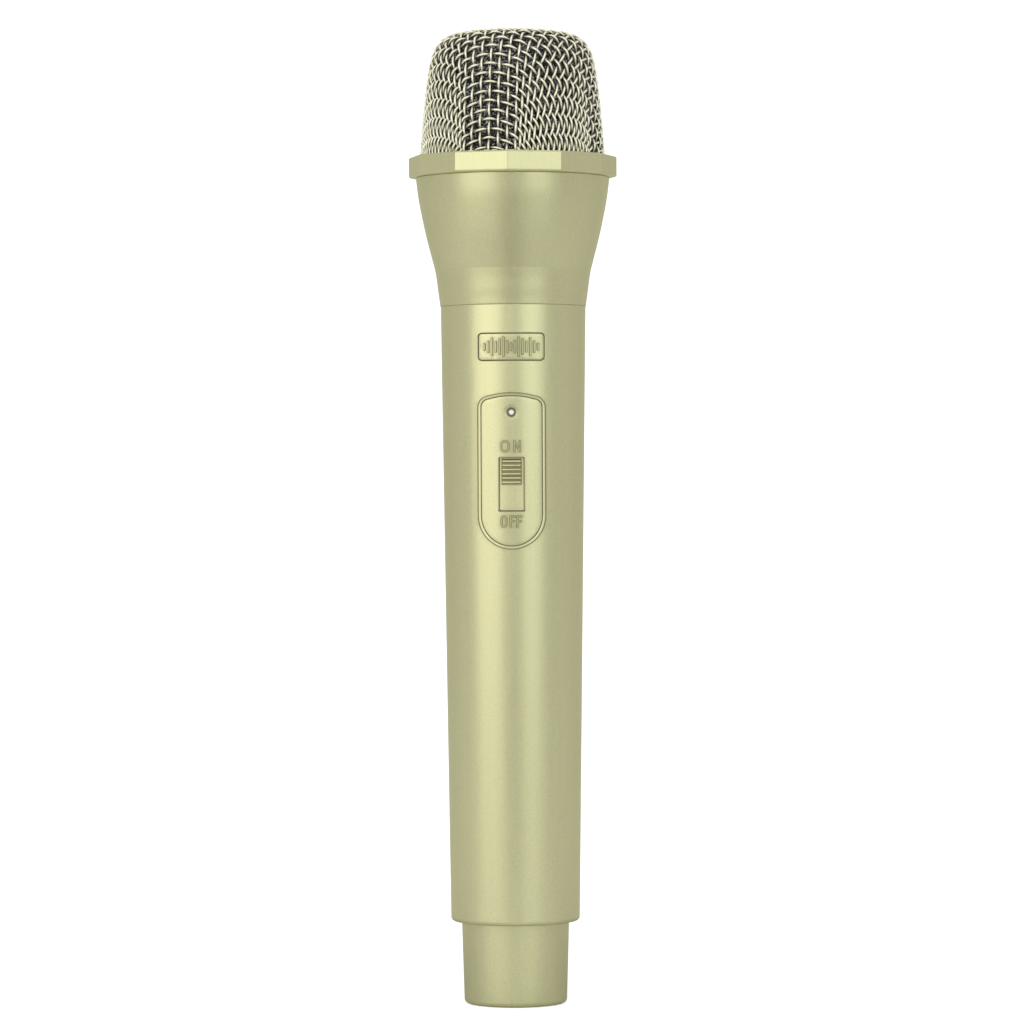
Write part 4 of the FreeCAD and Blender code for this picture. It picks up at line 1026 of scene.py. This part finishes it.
def collar():
    lower, upper = spline(COLLAR_LOWER, 6), spline(COLLAR_UPPER, 8)
    # two rows close to the crease on each side keep it crisp
    below = (lower[-1] - lower[-2]) / np.linalg.norm(lower[-1] - lower[-2])
    above = (upper[1] - upper[0]) / np.linalg.norm(upper[1] - upper[0])
    return lathe(np.vstack([
        COLLAR_FOOT, lower[:-1], lower[-1] - below * 0.16, lower[-1] - below * 0.04,
        upper[0] + above * 0.04, upper[0] + above * 0.16, upper[1:-1], COLLAR_INSIDE]), 256)


piece("collar_flare", collar(), replaces="collar", sharp=40)

# ---------------------------------------------------------------- twelve-sided ring
RING_SIDES = 12
RING_CORNER_R = 26.55      # axis to the unrounded corners
RING_TURN = math.radians(-91.0)
RING_ROUND = 0.45


def ring_outline(inset):
    """Rounded twelve-sided outline moved inward, always with the same count of (x, y)."""
    half_side = math.pi / RING_SIDES
    apothem = RING_CORNER_R * math.cos(half_side) - inset
    centre_r = (apothem - RING_ROUND) / math.cos(half_side)

    def on_corner(i, angle):
        centre = RING_TURN + 2 * math.pi * i / RING_SIDES
        return np.array([centre_r * math.cos(centre) + RING_ROUND * math.cos(angle),
                         centre_r * math.sin(centre) + RING_ROUND * math.sin(angle)])

    points = []
    for i in range(RING_SIDES):
        corner = RING_TURN + 2 * math.pi * i / RING_SIDES
        for k in range(5):
            points.append(on_corner(i, corner - half_side + (2 * math.pi / RING_SIDES) * k / 4))
        start = on_corner(i, corner + half_side)
        end = on_corner(i + 1, corner + half_side)
        points += [start + (end - start) * along for along in (0.03, 0.5, 0.97)]
    return points


def ring():
    z0, z1 = RING_LO[2] - 0.06, RING_HI[2]
    seat_z = MESH_LO[2] + 0.05
    # (kind, radius if round or inset if sided, z), up the outside and down the inside
    levels = [("round", 22.45, z0 + 0.04), ("round", 23.6, z0),
              ("sided", 1.75, z0), ("sided", 1.10, z0 + 0.005)]
    for i in range(1, 6):
        angle = math.pi / 2 * i / 5
        levels.append(("sided", 1.0 - 1.0 * math.sin(angle), z0 + 0.55 - 0.55 * math.cos(angle)))
    levels += [("sided", 0.0, z0 + 0.85), ("sided", 0.0, z1 - 0.75)]
    for i in range(5):
        angle = math.pi / 2 * i / 4
        levels.append(("sided", 0.45 * (1 - math.cos(angle)), z1 - 0.45 * (1 - math.sin(angle))))
    levels += [("sided", 0.7, z1), ("round", 24.6, z1), ("round", 24.2, z1),
               ("round", 24.03, z1 - 0.12), ("round", 23.98, z1 - 0.4),
               ("round", 23.98, seat_z), ("round", 22.45, seat_z)]
    base = ring_outline(0.0)
    count = len(base)
    verts, faces = [], []
    for kind, size, z in levels:
        if kind == "sided":
            verts += [(x, y, z) for x, y in ring_outline(size)]
        else:
            verts += [polar(size, math.atan2(y, x), z) for x, y in base]
    for k in range(len(levels)):
        faces += band(k * count, (k + 1) % len(levels) * count, count)
    return np.array(verts), faces


piece("anti_roll_ring", ring(), body="grille_head", replaces="grille_ring", sharp=42)


# ---------------------------------------------------------------- tail cap
def helix_ridge(root_r, crest_r, pitch, z0, turns, root_width, crest_width, steps=72):
    """Thread ridge that fades out at both ends."""
    verts, faces = [], []
    total = int(steps * turns)
    for i in range(total + 1):
        angle = 2 * math.pi * i / steps
        z = z0 + pitch * i / steps
        fade = min(1.0, i / 8.0, (total - i) / 8.0)
        top_r = root_r + (crest_r - root_r) * (0.15 + 0.85 * fade)
        for r, rise in ((root_r, -root_width / 2), (top_r, -crest_width / 2),
                        (top_r, crest_width / 2), (root_r, root_width / 2)):
            verts.append(polar(r, angle, z + rise))
    for i in range(total):
        faces += band(i * 4, (i + 1) * 4, 4)
    faces.append((3, 2, 1, 0))
    faces.append(tuple(total * 4 + k for k in range(4)))
    return np.array(verts), faces


def tail():
    """Cup with a shoulder, and a threaded neck above it."""
    shoulder_z = CAP_TOP - 7.8
    neck_r, bore_r, floor_z = 12.28, 10.6, 2.2
    # r, z, corner radius
    profile = fillet([
        (0, 0.35, 0), (8.45, 0.35, 0.15), (8.9, 0.0, 0.15), (13.06, 0.0, 1.15),
        (13.72, shoulder_z, 0.15), (neck_r, shoulder_z, 0.1), (neck_r, CAP_TOP, 0.4),
        (bore_r, CAP_TOP, 0.2), (bore_r, floor_z, 0.2), (0, floor_z, 0)])
    cup, cup_faces = lathe(profile, 160, closed=False)
    thread, thread_faces = helix_ridge(root_r=12.16, crest_r=12.98, pitch=2.0, z0=CAP_TOP - 6.1,
                                       turns=2.6, root_width=1.02, crest_width=0.46)
    thread_faces = [tuple(i + len(cup) for i in face) for face in thread_faces]
    return np.vstack([cup, thread]), cup_faces + thread_faces


piece("tail_end", tail(), body="tail", replaces="tail_cap", sharp=40)

# ---------------------------------------------------------------- woven wire basket
# (r, z) from the hem up to the crown, for a crown at z 248
GRILLE = np.array([
    (23.86, MESH_LO[2]), (23.72, 214.6), (23.44, 219.0), (23.08, 223.4), (22.74, 227.4),
    (22.34, 231.6), (21.86, 235.2), (21.42, 238.3), (20.78, 241.0), (19.85, 243.35),
    (18.3, 245.4), (15.95, 246.78), (12.2, 247.52), (6.8, 247.9), (0.0, 248.0),
]) + np.array([0.0, MESH_HI[2] - 248.0])
PITCH = 2.37
WIRE_R = 0.287
CRIMP = WIRE_R * 1.26      # how far a wire swings in and out at a crossing
WIRE_END_Z = RING_HI[2] - 2.6
# angle of the weave's square column, 13.2 degrees from the front towards -X
DIAL = -math.pi / 2 + math.radians(-13.2)
NET_REACH = 5.0            # arc length of cloth below the wires' end
SQUARE_HALF = 5.5          # half-width of the strips whose cells stay square
SHEAR_HALF = 8.5           # half-width at which the cells are fully sheared
WIRE_SIDES = 8
SPAN_STEPS = 5             # samples between two crossings


def surface(inset):
    """The basket's form moved inward: arc length from the crown, (r, z) and outward normal."""
    points = GRILLE[::-1]
    mirror = points[1:3][::-1] * np.array([-1, 1])
    path = spline(np.vstack([mirror, points]), 40)
    crown = int(np.argmin(np.hypot(path[:, 0], path[:, 1] - points[0][1])))
    path = path[crown:]
    path[0, 0] = 0.0
    tangent = np.gradient(path, axis=0)
    tangent /= np.linalg.norm(tangent, axis=1)[:, None]
    normal = np.stack([-tangent[:, 1], tangent[:, 0]], -1)
    normal[0] = (0, 1)
    path = path - normal * inset
    path[0, 0] = 0.0
    # run straight on below the hem so that the net has somewhere to go
    down = (path[-1] - path[-30]) / np.linalg.norm(path[-1] - path[-30])
    path = np.vstack([path, path[-1] + np.arange(1, 60)[:, None] * down * 0.5])
    normal = np.vstack([normal, np.repeat(normal[-1:], 59, 0)])
    lengths = np.linalg.norm(np.diff(path, axis=0), axis=1)
    return np.concatenate([[0], np.cumsum(lengths)]), path, normal


CLOTH_S, CLOTH_PATH, CLOTH_NORMAL = surface(CRIMP + WIRE_R)


def on_cloth(s, phi):
    """Point and outward normal at arc length s and angle phi."""
    point, normal = (np.array(polar(np.interp(s, CLOTH_S, table[:, 0]), phi,
                                    np.interp(s, CLOTH_S, table[:, 1])))
                     for table in (CLOTH_PATH, CLOTH_NORMAL))
    return point, normal / np.linalg.norm(normal)


def net():
    """Square cloth drawn over the basket, as {(i, j): (s, phi)} for every crossing.

    Along the four wire directions a strip of cells stays square; between the strips the cells
    shear into steep diamonds, because the cloth has to narrow as it comes down the sides.
    """
    hem = float(np.interp(-WIRE_END_Z, -CLOTH_PATH[:, 1], CLOTH_S))
    reach = int((hem + NET_REACH) / PITCH) + 2
    rows, columns = 400, 181
    flat_r = np.linspace(0, hem + NET_REACH + 2, rows)
    flat_angle = np.linspace(0, math.pi / 4, columns)
    diagonal_s = np.zeros(rows)            # arc length along the 45 degree direction
    angles = np.zeros((rows, columns))     # angle on the basket
    angles[0] = flat_angle
    for i in range(1, rows):
        radius = flat_r[i]
        form_r = float(np.interp((radius + diagonal_s[i - 1]) / 2, CLOTH_S, CLOTH_PATH[:, 0]))
        mean = min(1.0, form_r / radius)
        square = min(1.0, max(mean, 1 - 0.03 * radius / hem))
        start, end = min(SQUARE_HALF / radius, 0.16), min(SHEAR_HALF / radius, 0.62)
        t = np.clip((flat_angle - start) / (end - start), 0, 1)
        share = 1 - t * t * (3 - 2 * t)
        sheared = (mean - square * np.mean(share)) / (1 - np.mean(share))
        width = sheared + (square - sheared) * share
        # the sheared cells are also pulled a little longer
        pull = 1 + 0.12 * min(1.0, max(0.0, (1 - sheared) / 0.5))
        stretch = math.sqrt(max(0.0, 2 - max(sheared, 0.2) ** 2))
        diagonal_s[i] = diagonal_s[i - 1] + (radius - flat_r[i - 1]) * stretch * pull
        swept = np.concatenate([[0], np.cumsum((width[1:] + width[:-1]) / 2
                                               * np.diff(flat_angle))])
        angles[i] = swept * (math.pi / 4) / swept[-1]
    crossings = {}
    for i in range(-reach, reach + 1):
        for j in range(-reach, reach + 1):
            rho, psi = math.hypot(i, j) * PITCH, math.atan2(j, i)
            if rho > flat_r[-1] - 0.1:
                continue
            quarter = round(psi / (math.pi / 2))
            local = psi - quarter * math.pi / 2
            row, u = divmod(rho / flat_r[-1] * (rows - 1), 1.0)
            across = abs(local) / (math.pi / 4) * (columns - 1)
            column, v = divmod(min(across, columns - 1.001), 1.0)
            row, column = int(row), int(column)
            near, far = (line[column] * (1 - v) + line[column + 1] * v
                         for line in angles[row:row + 2])
            phi = near * (1 - u) + far * u
            diagonal = np.interp(rho, flat_r, diagonal_s)
            s = rho + (diagonal - rho) * abs(math.sin(2 * local)) ** 1.6
            if s < hem + NET_REACH:
                crossings[(i, j)] = (s, math.copysign(phi, local) + quarter * math.pi / 2)
    return crossings


def unit_rows(vectors):
    return vectors / np.linalg.norm(vectors, axis=1)[:, None]


def wires(crossings, family):
    """All the wires that run one way (family 0 or 1), over and under the others."""
    span = max(max(abs(i), abs(j)) for i, j in crossings)
    verts, faces, painted_shade = [], [], []
    for b in range(-span, span + 1):
        points, normals, wobble, centres = [], [], [], []
        for a in range(-span, span + 1):
            key = (a, b) if family == 0 else (b, a)
            if key in crossings:
                s, phi = crossings[key]
                centre, normal = on_cloth(s, phi + DIAL)
                side = 1.0 if (a + b + family) % 2 == 0 else -1.0
                points.append(centre + normal * (side * CRIMP))
                normals.append(normal)
                centres.append(centre)
                # hand-made unevenness, fixed by the wire's own number
                wobble.append(0.05 * math.sin(1.7 * a + 2.9 * b)
                              + 0.04 * math.sin(0.61 * a * b + 0.4 * family))
            elif points:
                break
        if len(points) < 3:
            continue
        points = np.array(points)
        sideways = unit_rows(np.cross(np.gradient(points, axis=0), np.array(normals)))
        path = spline(points + sideways * np.array(wobble)[:, None], SPAN_STEPS)
        outward = spline(normals, SPAN_STEPS)
        middle = spline(centres, SPAN_STEPS)
        above = path[:, 2] > WIRE_END_Z
        if above.sum() < 4:
            continue
        run = slice(np.argmax(above), len(above) - np.argmax(above[::-1]))
        path, outward, middle = path[run], outward[run], middle[run]
        tangent = unit_rows(np.gradient(path, axis=0))
        across = unit_rows(np.cross(tangent, outward))
        up = np.cross(across, tangent)
        base = len(verts)
        for i in range(len(path)):
            for k in range(WIRE_SIDES):
                angle = 2 * math.pi * k / WIRE_SIDES
                point = path[i] + WIRE_R * (math.cos(angle) * up[i] + math.sin(angle) * across[i])
                verts.append(point)
                # painted shade on the side of the wire that dips below the cloth's middle
                rise = (point - middle[i]) @ outward[i]
                painted_shade.append(np.interp(rise, [-0.26, 0.07, 0.31], [1.0, 0.65, 0.0]))
        end = base + (len(path) - 1) * WIRE_SIDES
        for start in range(base, end, WIRE_SIDES):
            faces += band(start, start + WIRE_SIDES, WIRE_SIDES, flip=True)
        faces.append(tuple(base + k for k in range(WIRE_SIDES)))
        faces.append(tuple(end + k for k in reversed(range(WIRE_SIDES))))
    return np.array(verts), faces, painted_shade


CROSSINGS = net()
for family, name in enumerate(("grille_warp", "grille_weft")):
    piece(name, wires(CROSSINGS, family), body="grille_head", slot="mesh_wire",
          replaces="grille_mesh")

# ---------------------------------------------------------------- foam lining
FOAM_INSET = 1.58          # from the basket's form to the foam's mean surface, before its lumps
FOAM_HEM_Z = RING_HI[2] + 0.6
FOAM_WALL = 2.4
FOAM_ROWS, FOAM_SEGS = 150, 420


def foam_lumps():
    """Lumpy field from fixed noise smoothed 1, 2 and 4 times, wrapped round."""
    base = np.random.default_rng(11).random((FOAM_ROWS, FOAM_SEGS))
    lumps = np.zeros_like(base)
    for passes, weight in ((1, 0.55), (2, 0.3), (4, 0.15)):
        layer = base.copy()
        for _ in range(passes):
            layer = (layer + np.roll(layer, 1, 1) + np.roll(layer, -1, 1)) / 3
            layer = (layer + np.vstack([layer[1:], layer[-1:]])
                     + np.vstack([layer[:1], layer[:-1]])) / 3
        lumps += weight * (layer - layer.mean()) / layer.std()
    return lumps


def foam():
    s, path, normal = surface(FOAM_INSET)
    above = path[:, 1] > FOAM_HEM_Z
    s, path, normal = s[above], path[above], normal[above]
    lumps = foam_lumps()
    angles = [2 * math.pi * j / FOAM_SEGS for j in range(FOAM_SEGS)]
    verts, faces = [], []
    for i, at in enumerate(np.linspace(0, s[-1], FOAM_ROWS)):
        r, z = np.interp(at, s, path[:, 0]), np.interp(at, s, path[:, 1])
        out, up = np.interp(at, s, normal[:, 0]), np.interp(at, s, normal[:, 1])
        fade = min(1.0, r / 3.0)
        for j, angle in enumerate(angles):
            height = -0.22 + 0.16 * np.clip(lumps[i, j], -1.4, 1.4) * fade
            verts.append(polar(r + out * height, angle, z + up * height))
    # the last row is the hem's inner edge
    verts += [polar(path[-1, 0] - FOAM_WALL, angle, FOAM_HEM_Z) for angle in angles]
    for i in range(FOAM_ROWS):
        faces += band(i * FOAM_SEGS, (i + 1) * FOAM_SEGS, FOAM_SEGS, flip=True)
    return np.array(verts), faces


piece("foam_windscreen", foam(), body="grille_head", slot="foam", replaces="grille_foam")

# ---------------------------------------------------------------- studio, in metres
scene = bpy.context.scene


def studio_paper():
    """White paper with painted shade: greyer in front, in a lane towards the camera and round the
    foot, so that it lights the object's undersides less.
    """
    g = Graph("studio_white")
    white = (0.90, 0.90, 0.90)
    front_painted_shade, lane_painted_shade, foot_painted_shade = shade(white, 0.74), shade(white, 0.42), shade(white, 0.66)
    mottle = g.noise(scale=3.0, detail=2.0, rough=0.5)
    x, y = g.axes()[:2]
    # painted shade on the sheet in front of the object
    front = g.remap(y, to=(1.0, 0.0), span=(-0.34, -0.20))
    colour = g.mix(g.remap(mottle), white, shade(white, 0.985))
    colour = g.mix(front, colour, front_painted_shade)
    # more painted shade in a lane that widens towards the camera
    off_axis = g.math("ABSOLUTE", g.math("DIVIDE", x, y))
    lane = g.math("MULTIPLY", g.remap(off_axis, to=(1.0, 0.0), span=(0.14, 0.36)), front)
    colour = g.mix(lane, colour, lane_painted_shade)
    # painted shade on the patch beside and behind the foot
    from_foot = g.math("ADD", g.math("MULTIPLY", x, x), g.math("MULTIPLY", y, y))
    foot = g.math("MULTIPLY", g.remap(from_foot, to=(1.0, 0.0), span=(0.010, 0.040)),
                  g.remap(y, span=(-0.05, 0.01)))
    colour = g.mix(foot, colour, foot_painted_shade)
    # it glows towards the camera only, so the backdrop is evenly white and lights nothing
    seen = g.node("LightPath").outputs["Is Camera Ray"]
    return g.finish(Base_Color=colour, Roughness=0.9, Specular_IOR_Level=0.1,
                    Emission_Color=(1.0, 1.0, 1.0),
                    Emission_Strength=g.remap(seen, to=(0.0, 0.66), span=(0.0, 1.0)))


def sweep_floor():
    """Floor that curves up into a back wall."""
    bend_y, bend_r = 1.2, 0.8
    profile = [(-3.0, 0.0), (bend_y, 0.0)]
    for i in range(1, 13):
        angle = math.pi / 2 * i / 12
        profile.append((bend_y + bend_r * math.sin(angle), bend_r - bend_r * math.cos(angle)))
    profile.append((bend_y + bend_r, 3.2))
    verts = [(x, y, z) for y, z in profile for x in (-4.0, 4.0)]
    faces = [(2 * i, 2 * i + 1, 2 * i + 3, 2 * i + 2) for i in range(len(profile) - 1)]
    mesh = bpy.data.meshes.new("studio_sweep")
    mesh.from_pydata(verts, [], faces)
    mesh.polygons.foreach_set("use_smooth", np.ones(len(mesh.polygons), bool))
    mesh.materials.append(studio_paper())
    floor = bpy.data.objects.new("studio_sweep", mesh)
    scene.collection.objects.link(floor)
    floor.location = (0, 0, -0.0001)


def studio_world():
    """Soft white surroundings, brighter to the camera than as a light."""
    world = bpy.data.worlds.new("studio_world")
    scene.world = world
    world.use_nodes = True
    tree = world.node_tree
    background = tree.nodes["Background"]
    background.inputs["Color"].default_value = (0.985, 0.97, 0.975, 1.0)
    seen = tree.nodes.new("ShaderNodeLightPath")
    level = tree.nodes.new("ShaderNodeMapRange")
    level.inputs["To Min"].default_value = 0.68
    level.inputs["To Max"].default_value = 1.04
    tree.links.new(seen.outputs["Is Camera Ray"], level.inputs["Value"])
    tree.links.new(level.outputs["Result"], background.inputs["Strength"])


# name, degrees from the front towards +X, height, distance from the axis, width, length,
# power in watts, colour, height aimed at
SOFT_BOXES = [
    ("box_left", -40, 0.33, 1.1, 1.00, 0.75, 2.93, (1.0, 0.985, 0.95), 0.13),
    ("box_right", 31.5, 0.33, 1.15, 0.72, 0.75, 1.77, (0.94, 1.0, 1.0), 0.13),
    ("box_top", 5, 1.6, 0.4, 1.2, 1.0, 3.0, (1, 1, 1), 0.13),
    ("box_front", -2, 0.36, 1.35, 0.26, 0.45, 0.26, (1, 1, 1), 0.16),
]


def front_place(degrees, distance, z):
    """Place at an angle from the front towards +X."""
    angle = math.radians(degrees)
    return Vector((math.sin(angle) * distance, -math.cos(angle) * distance, z))


def soft_box(name, degrees, z, distance, width, length, power, colour, aim_z):
    light = bpy.data.lights.new(name, "AREA")
    light.shape = "RECTANGLE"
    light.size, light.size_y = width, length
    light.energy = power
    light.color = colour
    box = bpy.data.objects.new(name, light)
    scene.collection.objects.link(box)
    box.location = front_place(degrees, distance, z)
    aim = Vector((0, 0, aim_z)) - front_place(degrees, distance, z)
    box.rotation_euler = aim.to_track_quat("-Z", "Y").to_euler()


def camera():
    """Long lens, almost straight in front."""
    data = bpy.data.cameras.new("camera")
    cam = bpy.data.objects.new("camera", data)
    scene.collection.objects.link(cam)
    scene.camera = cam
    data.sensor_width = 36.0
    data.lens = 154.7
    data.clip_start, data.clip_end = 0.05, 30.0
    cam.location = front_place(degrees=1.8, distance=1.123, z=0.134)
    aim = Vector((-0.0005, 0.0, 0.1252))
    roll = math.radians(-0.23)
    cam.rotation_mode = "QUATERNION"
    facing = (aim - cam.location).to_track_quat("-Z", "Y")
    cam.rotation_quaternion = facing @ Quaternion((0, 0, 1), roll)


sweep_floor()
studio_world()
for box in SOFT_BOXES:
    soft_box(*box)
camera()
scene.view_settings.view_transform = "Standard"
scene.view_settings.look = "None"
